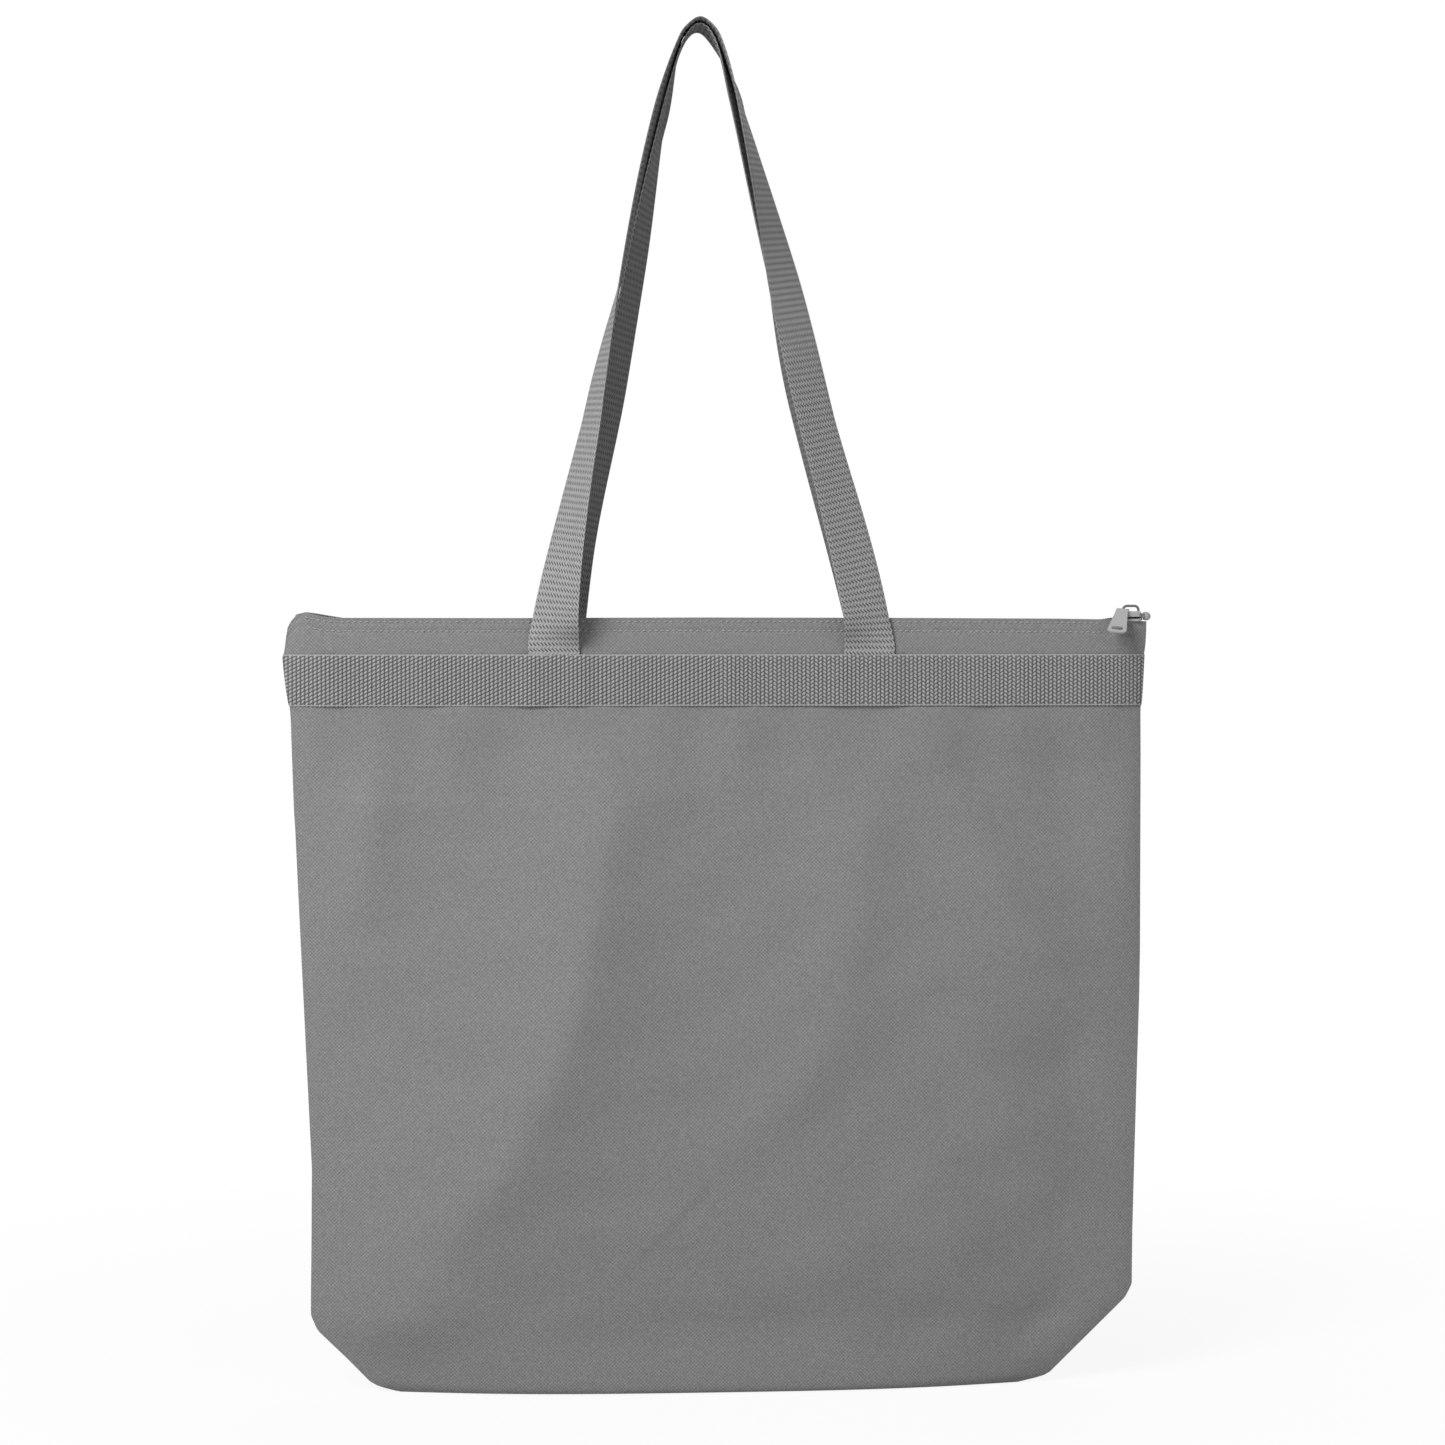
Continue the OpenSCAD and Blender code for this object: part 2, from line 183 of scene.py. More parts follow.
@dataclass(frozen=True)
class WovenFinish:
    """A woven synthetic whose pattern follows the cut's own width and length.

    The yarns give a matt body with fine light floats over gaps darkened with painted shade, and a faint
    sheen at grazing angles, so the cloth never reads as a flat sheet of plastic.
    """

    name: str
    slot: str
    weave: Weave
    yarn: str
    # gap: colour of the gaps between floats, painted shade in the recesses.
    gap: str
    across_mm: float
    along_mm: float
    relief_mm: float
    bow: float = 0.0
    slant: float = 0.0
    # Half width past which the floats are lifted pale: a painted highlight along the edges.
    selvage_mm: float = 0.0
    roughness: float = 0.86
    sheen: float = 0.12
    yarn_drift: float = 0.05
    shade_drift: float = 0.012
    # reverse: how much the reverse face is darkened, as painted shade.
    reverse: float = 0.0

    def build(self) -> bpy.types.Material:
        """Makes the material.

        Returns:
            The material, with relief and colour from one pattern of floats.
        """
        material = bpy.data.materials.new(self.name)
        tree = empty_tree(material)
        place = add_node(tree, "UVMap", {"uv_map": "cut"})
        axes = add_node(tree, "SeparateXYZ", in0=place.outputs[0])
        floats = self._floats(tree, axes.outputs[0], axes.outputs[1])
        # Painted shade: the reverse face of the webbing is darkened by reverse, standing in for the shade
        # inside the handle loops.
        back = add_node(tree, "Attribute", {"attribute_name": "reverse"})
        tone = add_node(
            tree, "Math", {"operation": "MULTIPLY_ADD"}, in0=back.outputs["Fac"], in1=-self.reverse, in2=1.0
        )
        # Uneven yarns, and a slow change of shade over a hand's breadth, as in piece-dyed polyester.
        where = add_node(tree, "TexCoord")
        for size_mm, drift in ((1.7, self.yarn_drift), (60.0, self.shade_drift)):
            noise = add_node(
                tree, "TexNoise", Vector=where.outputs["Object"], Scale=1 / (size_mm * MM), Detail=2.0,
                Roughness=0.6,
            )
            shade = add_node(
                tree, "MapRange", in0=noise.outputs[0], in1=0.3, in2=0.7, in3=1 - drift, in4=1 + drift
            )
            tone = add_node(
                tree, "Math", {"operation": "MULTIPLY"}, in0=tone.outputs[0], in1=shade.outputs[0]
            )
        colour = add_node(
            tree, "Mix", {"data_type": "RGBA"}, in0=floats, in6=linear(self.gap), in7=linear(self.yarn)
        )
        toned = add_node(
            tree, "Mix", {"data_type": "RGBA", "blend_type": "MULTIPLY"},
            in0=1.0, in6=colour.outputs[2], in7=tone.outputs[0],
        )
        relief = add_node(tree, "Bump", Strength=1.0, Distance=self.relief_mm * MM, Height=floats)
        shader = add_node(
            tree, "BsdfPrincipled", Base_Color=toned.outputs[2], Roughness=self.roughness,
            IOR=1.5, Specular_IOR_Level=0.22, Sheen_Weight=self.sheen, Sheen_Roughness=0.5,
            Normal=relief.outputs[0],
        )
        add_node(tree, "OutputMaterial", Surface=shader.outputs[0])
        return material

    def _floats(self, tree: bpy.types.NodeTree, across: Any, along: Any) -> Any:
        """Makes the height of the floats, 0 in the gaps and 1 on the crowns.

        Args:
            tree: The node tree.
            across: Socket with the place across the cut, in metres.
            along: Socket with the place along the cut, in metres.

        Returns:
            The socket of the height.
        """
        made = {"across": across, "along": along}
        for result, operation, *values in self._steps():
            inputs = {f"in{i}": made[v] if isinstance(v, str) else v for i, v in enumerate(values)}
            made[result] = add_node(tree, "Math", {"operation": operation}, **inputs).outputs[0]
        return made["floats"]

    def _steps(self) -> list[tuple]:
        """Lists the steps of arithmetic that turn a place on the cut into the height of the floats.

        Returns:
            The steps in order: a result, an operation, and its values as numbers or earlier results.
        """
        steps: list[tuple] = [
            ("column", "DIVIDE", "across", self.across_mm * MM),
            ("row", "DIVIDE", "along", self.along_mm * MM),
            ("row_angle", "MULTIPLY", "row", math.tau),
        ]
        if self.weave in (Weave.OXFORD, Weave.KNIT):
            return steps + [
                ("column_angle", "MULTIPLY", "column", math.tau),
                ("warp", "SINE", "column_angle"),
                ("weft", "SINE", "row_angle"),
                ("crossing", "MULTIPLY", "warp", "weft"),
                ("floats", "MULTIPLY_ADD", "crossing", 0.5, 0.5),
            ]
        if self.weave is Weave.CHEVRON:
            # Columns swing left and right along the webbing, with deep gaps in every other row, their dark
            # colour painted shade.
            return steps + [
                ("swing", "SINE", "row_angle"),
                ("swung", "MULTIPLY_ADD", "swing", self.bow, "column"),
                ("part", "FRACT", "swung"),
                ("rib_angle", "MULTIPLY", "part", math.pi),
                ("rib", "SINE", "rib_angle"),
                ("beat", "COSINE", "row_angle"),
                ("deep", "MULTIPLY_ADD", "beat", 0.38, 0.62),
                ("gap", "SUBTRACT", 1.0, "rib"),
                ("dark", "MULTIPLY", "gap", "deep"),
                ("floats", "SUBTRACT", 1.0, "dark"),
            ]
        # Beads are bowed, staggered from column to column, and lean to the left in one and to the
        # right in the next.
        steps += [
            ("part", "FRACT", "column"),
            ("middle", "SUBTRACT", "part", 0.5),
            ("square", "MULTIPLY", "middle", "middle"),
            ("bowed", "MULTIPLY_ADD", "square", self.bow, "row"),
            ("number", "FLOOR", "column"),
            ("odd", "MODULO", "number", 2.0),
            ("turn", "MULTIPLY_ADD", "odd", 2.0, -1.0),
            ("way", "SIGN", "turn"),
            ("lean", "MULTIPLY", "middle", "way"),
            ("leaning", "MULTIPLY_ADD", "lean", self.slant, "bowed"),
            ("stagger", "MULTIPLY", "number", 0.5),
            ("staggered", "ADD", "leaning", "stagger"),
            ("beat", "FRACT", "staggered"),
            ("rib_angle", "MULTIPLY", "part", math.pi),
            ("rib", "SINE", "rib_angle"),
            ("beat_angle", "MULTIPLY", "beat", math.pi),
            ("knuckle", "SINE", "beat_angle"),
            ("bead", "MULTIPLY", "rib", "knuckle"),
            ("floats", "POWER", "bead", 0.7),
        ]
        # Both edges are lifted to pale floats: the band's plain selvage, lightened as a painted highlight
        # where the edge catches light.
        if self.selvage_mm:
            steps += [
                ("off_middle", "ABSOLUTE", "along"),
                ("edge", "GREATER_THAN", "off_middle", self.selvage_mm * MM),
                ("selvage", "MULTIPLY", "edge", 0.85),
                ("floats", "MAXIMUM", "floats", "selvage"),
            ]
        return steps


@dataclass(frozen=True)
class SolidFinish:
    """A moulded, cast or spun material with a fine grain of its own."""

    name: str
    slot: str
    colour: str
    worn: str
    grain_mm: float
    relief_mm: float
    roughness: float
    coat: float = 0.0
    sheen: float = 0.0

    def build(self) -> bpy.types.Material:
        """Makes the material.

        Returns:
            The material, with grain in its colour, gloss and relief.
        """
        material = bpy.data.materials.new(self.name)
        tree = empty_tree(material)
        where = add_node(tree, "TexCoord")
        grain = add_node(
            tree, "TexNoise", Vector=where.outputs["Object"], Scale=1 / (self.grain_mm * MM),
            Detail=3.0, Roughness=0.6,
        )
        colour = add_node(
            tree, "Mix", {"data_type": "RGBA"},
            in0=grain.outputs[0], in6=linear(self.colour), in7=linear(self.worn),
        )
        gloss = add_node(
            tree, "MapRange", in0=grain.outputs[0], in1=0.3, in2=0.7,
            in3=self.roughness - 0.06, in4=self.roughness + 0.06,
        )
        relief = add_node(
            tree, "Bump", Strength=1.0, Distance=self.relief_mm * MM, Height=grain.outputs[0]
        )
        shader = add_node(
            tree, "BsdfPrincipled", Base_Color=colour.outputs[2], Roughness=gloss.outputs[0], IOR=1.5,
            Coat_Weight=self.coat, Coat_Roughness=0.2, Sheen_Weight=self.sheen, Normal=relief.outputs[0],
        )
        add_node(tree, "OutputMaterial", Surface=shader.outputs[0])
        return material


# Coated oxford polyester, woven from fine doubled yarns: matt mid grey with a barely seen check.
# Its 0.4 mm yarns are drawn at 2.1 mm, because finer ones don't show at the photograph's size.
OXFORD_CLOTH = WovenFinish(
    "coated_oxford_polyester", "body_cloth", Weave.OXFORD, yarn="#8f8f8f", gap="#737373",
    across_mm=2.1, along_mm=2.1, relief_mm=0.08, yarn_drift=0.12,
)
# Spun polyester webbing, woven in upright columns of short floats: rows of pale beads, with painted shade in
# the gaps between.
BAND_WEBBING = WovenFinish(
    "woven_polyester_band", "webbing", Weave.BEADS, yarn="#b0b0b0", gap="#363636",
    across_mm=2.45, along_mm=2.3, relief_mm=0.5, bow=0.3, slant=0.55, selvage_mm=14.35,
)
# The same webbing in the handles, where the pull lays the floats in rows of fine zigzags.
# Its 1.6 mm columns are drawn at 2.2 mm, because finer ones don't show at the photograph's size.
# Its near-black gap colour is painted shade between the floats.
# reverse=0.45 darkens the inner faces of the handles as painted shade inside the loops.
HANDLE_WEBBING = WovenFinish(
    "woven_polyester_handle", "webbing", Weave.CHEVRON, yarn="#a8a8a8", gap="#141414",
    across_mm=2.2, along_mm=3.7, relief_mm=0.5, bow=0.3, sheen=0.02, yarn_drift=0.08, reverse=0.45,
)
# Warp-knitted polyester zip tape: darker, close and flat.
ZIP_TAPE = WovenFinish(
    "knitted_zip_tape", "zip_tape", Weave.KNIT, yarn="#6e6e6e", gap="#575757",
    across_mm=0.9, along_mm=1.2, relief_mm=0.08,
)
# Plain woven seam tape on the raw edges inside, duller than the cloth.
SEAM_TAPE = WovenFinish(
    "woven_seam_tape", "binding_tape", Weave.KNIT, yarn="#868686", gap="#6f6f6f",
    across_mm=1.0, along_mm=1.0, relief_mm=0.08,
)
# Drawn nylon monofilament, wound to a coil: dark, smooth, with a soft highlight along each turn.
NYLON_COIL = SolidFinish(
    "drawn_nylon_coil", "zip_coil", colour="#4b4b4b", worn="#5c5c5c",
    grain_mm=1.5, relief_mm=0.01, roughness=0.42,
)
# Baked enamel on die-cast zinc: pale grey, satin, with a thin clear gloss and faint orange peel.
ENAMELLED_ZINC = SolidFinish(
    "enamelled_die_cast_zinc", "zip_metal", colour="#9c9c9c", worn="#a8a8a8",
    grain_mm=0.8, relief_mm=0.015, roughness=0.4, coat=0.2,
)
# Bent steel wire under darker enamel, worn by the tab that hangs on it: reads as a dark arch.
BRIDGE_WIRE = SolidFinish(
    "enamelled_steel_wire", "zip_metal", colour="#585858", worn="#6e6e6e",
    grain_mm=0.8, relief_mm=0.01, roughness=0.4,
)
# Folded tape ends, heat-sealed to a smooth pale stub.
TAIL_TAPE = WovenFinish(
    "sealed_tape_end", "zip_coil", Weave.KNIT, yarn="#b2b2b2", gap="#9a9a9a",
    across_mm=0.9, along_mm=1.1, relief_mm=0.06,
)
# Crimped steel strip under dark grey enamel, for the stops: dull, with a soft edge of light.
DARK_CRIMP = SolidFinish(
    "enamelled_crimped_steel", "zip_metal", colour="#6a6a6a", worn="#777777",
    grain_mm=0.8, relief_mm=0.01, roughness=0.45,
)
# Bonded polyester sewing thread: matt, with the fuzz of its plies.
SEWING_THREAD = SolidFinish(
    "bonded_polyester_thread", "thread", colour="#a8a8a8", worn="#8a8a8a",
    grain_mm=0.6, relief_mm=0.06, roughness=0.8, sheen=0.1,
)
Finish = WovenFinish | SolidFinish
MATERIALS: dict[str, bpy.types.Material] = {
    finish.name: finish.build()
    for finish in (
        OXFORD_CLOTH, BAND_WEBBING, HANDLE_WEBBING, ZIP_TAPE, SEAM_TAPE, TAIL_TAPE,
        NYLON_COIL, ENAMELLED_ZINC, BRIDGE_WIRE, DARK_CRIMP, SEWING_THREAD,
    )
}


# Meshes


def make_piece(
    name: str, points: Array, faces: Sequence[Sequence[int]], cut: Array, finish: Finish, crease: float = 40
) -> bpy.types.Object:
    """Makes a smooth mesh piece in metres with its cut's coordinates.

    Args:
        name: Name of the piece.
        points: Vertices in millimetres.
        faces: Vertex numbers of each face.
        cut: Place of each vertex on the flat cut, in millimetres.
        finish: The finish that dresses it.
        crease: Angle in degrees past which an edge stays sharp.

    Returns:
        The object, linked to the scene.
    """
    mesh = bpy.data.meshes.new(name)
    mesh.from_pydata((np.asarray(points, float) * MM).tolist(), [], faces)
    layer = mesh.uv_layers.new(name="cut")
    corners = np.zeros(len(mesh.loops), np.int32)
    mesh.loops.foreach_get("vertex_index", corners)
    layer.data.foreach_set("uv", (np.asarray(cut, float)[corners] * MM).astype(np.float32).ravel())
    mesh.polygons.foreach_set("use_smooth", np.ones(len(mesh.polygons), bool))
    mesh.validate()
    mesh.update()
    mesh.set_sharp_from_angle(angle=math.radians(crease))
    mesh.materials.append(MATERIALS[finish.name])
    made = add_object(name, mesh)
    LOG.info("%s: %d points, %s", name, len(points), finish.name)
    return made


def end_cap(ring: Array, first: int) -> list[list[int]]:
    """Closes an end ring with a zigzag of triangles, which suits a long thin ring with bends.

    Args:
        ring: Points of the ring.
        first: Number of its first point in the whole skin.

    Returns:
        The faces, turned the way the ring runs.
    """
    low, high, faces = 0, len(ring) - 1, []
    while high - low > 1:
        rise = np.linalg.norm(ring[low + 1] - ring[high]) <= np.linalg.norm(ring[low] - ring[high - 1])
        faces.append([first + low, first + (low + 1 if rise else high - 1), first + high])
        low, high = (low + 1, high) if rise else (low, high - 1)
    return faces


def loft(rings: Array) -> tuple[Array, list[list[int]]]:
    """Joins closed rings of points into one skin with capped ends.

    Args:
        rings: Points by ring and place, shape (rings, places, 3).

    Returns:
        The points in one list, and the faces.
    """
    count, size = rings.shape[:2]
    i, j = np.meshgrid(np.arange(count - 1), np.arange(size), indexing="ij")
    here, beside = i * size + j, i * size + (j + 1) % size
    faces = np.stack([here, beside, beside + size, here + size], -1).reshape(-1, 4).tolist()
    faces += [face[::-1] for face in end_cap(rings[0], 0)] + end_cap(rings[-1], (count - 1) * size)
    return rings.reshape(-1, 3), faces


def outward(points: Array, faces: list[list[int]]) -> list[list[int]]:
    """Turns all faces round if the skin they make is inside out.

    Args:
        points: Vertices.
        faces: Faces of one closed skin.

    Returns:
        The faces, facing out.
    """
    fans = np.array([(face[0], a, b) for face in faces for a, b in zip(face[1:-1], face[2:])])
    first, second, third = (points[fans[:, k]] for k in range(3))
    volume = float(np.sum(first * np.cross(second, third)))
    return faces if volume > 0 else [face[::-1] for face in faces]


def make_skin(name: str, rings: Array, cut: Array, finish: Finish) -> bpy.types.Object:
    """Makes a piece that is one skin over closed rings.

    Args:
        name: Name of the piece.
        rings: Points by ring and place, in millimetres.
        cut: Place of each point on the flat cut, by ring and place.
        finish: The finish that dresses it.

    Returns:
        The object, linked to the scene.
    """
    points, faces = loft(rings)
    return make_piece(name, points, outward(points, faces), cut.reshape(-1, 2), finish)


# Sides and cuts


class Side(Enum):
    """The two ends of the bag as seen from the front."""

    LEFT = -1
    RIGHT = 1


class Face(Enum):
    """The two faces of the bag, by the sign of Y."""

    FRONT = -1
    BACK = 1


@dataclass(frozen=True)
class Cut:
    """The stretch of the bag that a sewn piece covers.

    A front piece would stay with the bag at its side seam and go with the mouth from leans_from inwards,
    both measured from the middle; stays_from and leans_from are not used, and the piece does not bend.
    """

    face: Face
    sides: tuple[Side, ...]
    stays_from: float = 226.0
    leans_from: float = 112.0

    def name(self, what: str) -> str:
        """Names a piece of this cut, such as front_cloth_left or back_cloth."""
        side = f"_{self.sides[0].name.lower()}" if self.face is Face.FRONT else ""
        return f"{self.face.name.lower()}_{what}{side}"

    def spread(self, shares: Array) -> Array:
        """Lays shares that run from 0 to 1 out over the cut's sides.

        Args:
            shares: Shares of the half width, from the middle line to the side seam.

        Returns:
            The shares from left to right, below 0 on the left.
        """
        left = -shares[::-1]
        if len(self.sides) == 2:
            return np.r_[left, shares[1:]]
        return left if self.sides[0] is Side.LEFT else shares

    def settle(self, piece: bpy.types.Object, *nodes: str) -> None:
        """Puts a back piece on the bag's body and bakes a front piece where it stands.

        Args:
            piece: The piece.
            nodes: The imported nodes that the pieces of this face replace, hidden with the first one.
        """
        if self.face is Face.FRONT:
            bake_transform(piece)
        else:
            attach(piece, "bag_body")
        if self.sides[0] is Side.LEFT:
            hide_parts(*nodes)


CUTS = (
    Cut(Face.FRONT, (Side.LEFT,)),
    Cut(Face.FRONT, (Side.RIGHT,)),
    Cut(Face.BACK, (Side.LEFT, Side.RIGHT)),
)


# Sub-assemblies


@dataclass(frozen=True)
class Fold:
    """One ridge in the cloth.

    The crest runs through the points (x, z), rounded over soft, and the cloth falls away from it over
    one width on its left and another on its right.
    """

    crest: tuple[tuple[float, float], ...]
    height: float
    left: float
    right: float
    soft: float = 12.0

    def rise(self, x: Array, z: Array) -> Array:
        """Works out how far the ridge lifts the cloth.

        Args:
            x: Places across the bag.
            z: Heights.

        Returns:
            The lift at each place.
        """
        points = np.array(self.crest, float)
        best = np.full(x.shape, 1e9)
        across = np.zeros(x.shape)
        fade = np.ones(x.shape)
        reach = np.r_[0, np.cumsum(np.linalg.norm(np.diff(points, axis=0), axis=1))]
        for a, b, done in zip(points[:-1], points[1:], reach[:-1]):
            step = b - a
            size = np.linalg.norm(step)
            t = np.clip(((x - a[0]) * step[0] + (z - a[1]) * step[1]) / size**2, 0, 1)
            dx, dz = x - a[0] - t * step[0], z - a[1] - t * step[1]
            away = np.hypot(dx, dz)
            nearer = away < best
            best = np.where(nearer, away, best)
            turned = (step[0] * dz - step[1] * dx) / size
            across = np.where(nearer, np.where(turned > 0, away, -away), across)
            part = (done + t * size) / reach[-1]
            fade = np.where(nearer, 0.35 + 0.65 * np.sin(math.pi * np.clip(part, 0.08, 0.92)), fade)
        width = np.where(across < 0, self.left, self.right)
        return self.height * fade * np.exp(-(np.hypot(best, self.soft) - self.soft) / width)


@dataclass
class BagForm:
    """The bag's own outline and depth, shared by every sewn piece."""

    neck_z: float = 395.0
    belly_z: float = 70.0
    base_d: float = 40.0
    belly_d: float = 52.0
    mouth_d: float = 14.2
    seam_half: float = 0.95
    cloth_t: float = 0.8
    band_low: float = 405.0
    band_high: float = 435.0
    hem_low: float = 437.0
    hem_mid: float = 450.0
    hem_high: float = 456.0
    # Width over which the corners of the edge and mouth tables are rounded.
    edge_blur: float = 4.0
    mouth_blur: float = 2.0
    # How squarely a level section fills out, low on the bag and at the neck.
    fullness: tuple[float, float] = (3.0, 18.0)
    full_from: float = 180.0
    # How far the cloth rounds in at the ground, and over what height.
    base_round: tuple[float, float] = (3.6, 4.2)
    # How far the cloth between the folds lies back, and the heights over which the band gathers it.
    fold_rest: float = 8.0
    gathers: tuple[float, float] = (330.0, 404.0)
    # Small wrinkles as wavelength, heading in radians and height.
    wrinkles: tuple[tuple[float, float, float], ...] = ((74, 0.6, 0.5), (47, 2.0, 0.28), (31, 1.2, 0.12))
    # Distance of each row of hem stitching below the folded edge.
    stitch_rows: tuple[float, float] = (2.3, 7.7)
    # Height and half width along each edge, from the ground to the mouth.
    edges: dict[Side, tuple[tuple[float, float], ...]] = field(
        default_factory=lambda: {
            Side.LEFT: (
                (-2, 183), (0, 188), (2.5, 198.5), (5.4, 205.0), (20, 219.1), (37, 236.5), (46, 240.4),
                (60, 240.3), (90, 239.9), (118, 239.7), (132, 239.5), (147, 240.2), (160, 240.8),
                (203, 242.8), (232, 244.1), (260, 245.4), (300, 247.2), (330, 248.5), (345, 249.4),
                (373, 250.3), (402, 251.2), (408, 252.4), (415, 253.6), (433, 255.5), (438, 254.5),
                (446, 253.5), (454, 252.1), (470, 249),
            ),
            Side.RIGHT: (
                (-2, 174), (0, 179), (2, 189), (4.2, 197.3), (50, 244.3), (58, 248.4), (66, 248.4),
                (90, 248.6), (132, 249.6), (147, 250.0), (175, 250.7), (203, 251.5), (231, 252.3),
                (260, 252.7), (288, 252.7), (316, 252.7), (373, 252.7), (402, 252.5), (408, 253.0),
                (415, 253.5), (434, 254.4), (440, 255.3), (447, 255.8), (456, 256.0), (470, 256.2),
            ),
        }
    )
    # Height of the hem's folded edge along the mouth.
    mouth: tuple[tuple[float, float], ...] = (
        (-256, 442), (-254, 449), (-253, 452.4), (-252, 454.8), (-251, 456.3), (-249, 458.2), (-247, 459.1),
        (-243.4, 459.5), (-239.6, 458.7), (-233.7, 457.2), (-225, 456.5), (-128, 456.4), (-10, 456.8),
        (107, 456.6), (200, 456.2), (227, 455.8), (246, 455.0), (256, 454.6),
    )
    front_folds: tuple[Fold, ...] = (
        Fold(
            (
                (-72, 420), (-64, 347), (-75, 284), (-87, 221), (-103, 182), (-127, 135), (-154, 96),
                (-184, 52),
            ),
            25, 95, 60, 10,
        ),
        Fold(((-190, 404), (-205, 340), (-228, 262)), 9, 30, 24),
        Fold(((112, 410), (88, 343), (79, 296), (74, 253), (66, 218), (46, 182), (6, 138)), 8, 44, 26, 14),
        Fold(((132, 380), (150, 330), (173, 288), (206, 240), (242, 212)), 7.5, 34, 22, 12),
        Fold(((122, 240), (148, 200), (173, 160), (236, 134)), 6.5, 28, 20, 12),
        Fold(((-30, 84), (40, 78), (110, 84), (170, 100)), 4, 30, 34, 16),
    )
    back_folds: tuple[Fold, ...] = (
        Fold(((60, 404), (78, 320), (66, 240), (96, 160), (150, 84)), 8, 52, 74),
        Fold(((-120, 400), (-96, 320), (-110, 240), (-60, 150)), 6, 40, 56),
        Fold(((-210, 330), (-160, 250), (-150, 170)), 5, 34, 44),
        Fold(((190, 380), (176, 300), (206, 220)), 4, 30, 36),
    )

    def edge(self, side: Side, z: Any) -> Array:
        """Half width at each height on one side."""
        return soft_table(self.edges[side], z, self.edge_blur)

    def half_width(self, u: Any, z: Any) -> Array:
        """Half width at each height, on the side that u is on by its sign."""
        return np.where(u < 0, self.edge(Side.LEFT, z), self.edge(Side.RIGHT, z))

    def hem_share(self, x: Any) -> Array:
        """Share of the half width at each place along the hem, from 0 to 1."""
        return np.abs(x) / self.half_width(x, self.hem_mid)

    def top(self, x: Any) -> Array:
        """Height of the hem's edge at each place along the mouth."""
        return soft_table(self.mouth, x, self.mouth_blur)

    def hem_lean(self, u: Any, z: Any) -> Array:
        """How far the pressed hem leans in towards the zip, less near the side seams."""
        return ease(self.hem_low, self.hem_high, z) * (1 - ease(0.9, 1.0, np.abs(u)))

    def half_depth(self, z: Any) -> Array:
        """Works out half the depth on the middle line.

        Args:
            z: Heights.

        Returns:
            Half the depth at each height.
        """
        z = np.asarray(z, float)
        low = mix(self.base_d, self.belly_d, np.sin(np.clip(z / self.belly_z, 0, 1) * math.pi / 2))
        high = mix(self.belly_d, self.mouth_d, ease(self.belly_z, self.neck_z, z))
        return np.where(z < self.belly_z, low, high) / 2

    def depth(self, u: Any, z: Any) -> Array:
        """Distance of the cloth from the middle plane.

        Args:
            u: Share of the half width, 0 on the middle line and 1 at the side seam.
            z: Height.

        Returns:
            The distance, before folds.
        """
        fullness = mix(*self.fullness, ease(self.full_from, self.neck_z, z))
        swell = 1 - np.clip(np.abs(u), 0, 1) ** fullness
        inwards, upwards = self.base_round
        round_in = inwards * (1 - np.sqrt(1 - np.clip(1 - np.asarray(z, float) / upwards, 0, 1) ** 2))
        full = self.seam_half + (self.half_depth(z) - self.seam_half) * swell
        return np.maximum(full - round_in * swell, self.seam_half)

    def fold_lift(self, face: Face, x: Array, u: Array, z: Array) -> Array:
        """Lift of the folds and small wrinkles on one face.

        Args:
            face: Front or back.
            x: Places across the bag.
            u: Share of the half width at each place.
            z: Heights.

        Returns:
            The lift, which dies away at the band, the side seams and the base.
        """
        folds = self.front_folds if face is Face.FRONT else self.back_folds
        lift = sum(fold.rise(x, z) for fold in folds) - self.fold_rest
        turn = 0.0 if face is Face.FRONT else 1.7
        gather = 1.1 * np.sin(x / 8.6 + turn + 0.6 * np.sin(x / 31)) + 0.8 * np.sin(x / 14.3 + 2 * turn)
        gathered = ease(*self.gathers, z)
        lift = lift + gather * gathered * 0.7
        for wave, heading, size in self.wrinkles:
            along = x * math.cos(heading + turn) + z * math.sin(heading + turn)
            other = x * math.sin(heading) - z * math.cos(heading)
            lift = lift + size * np.sin(math.tau * along / wave + 2.2 * np.sin(other / wave))
        hold = ease(0, 46, z) * (1 - 0.92 * ease(350, 405, z)) * (1 - ease(0.8, 1.0, np.abs(u)))
        hold = hold * (1 - ease(404, 408, z))
        low_gather = gathered * (1 - ease(400, 406, z)) * (1 - ease(0.92, 1.0, np.abs(u)))
        return lift * hold + gather * 0.5 * low_gather


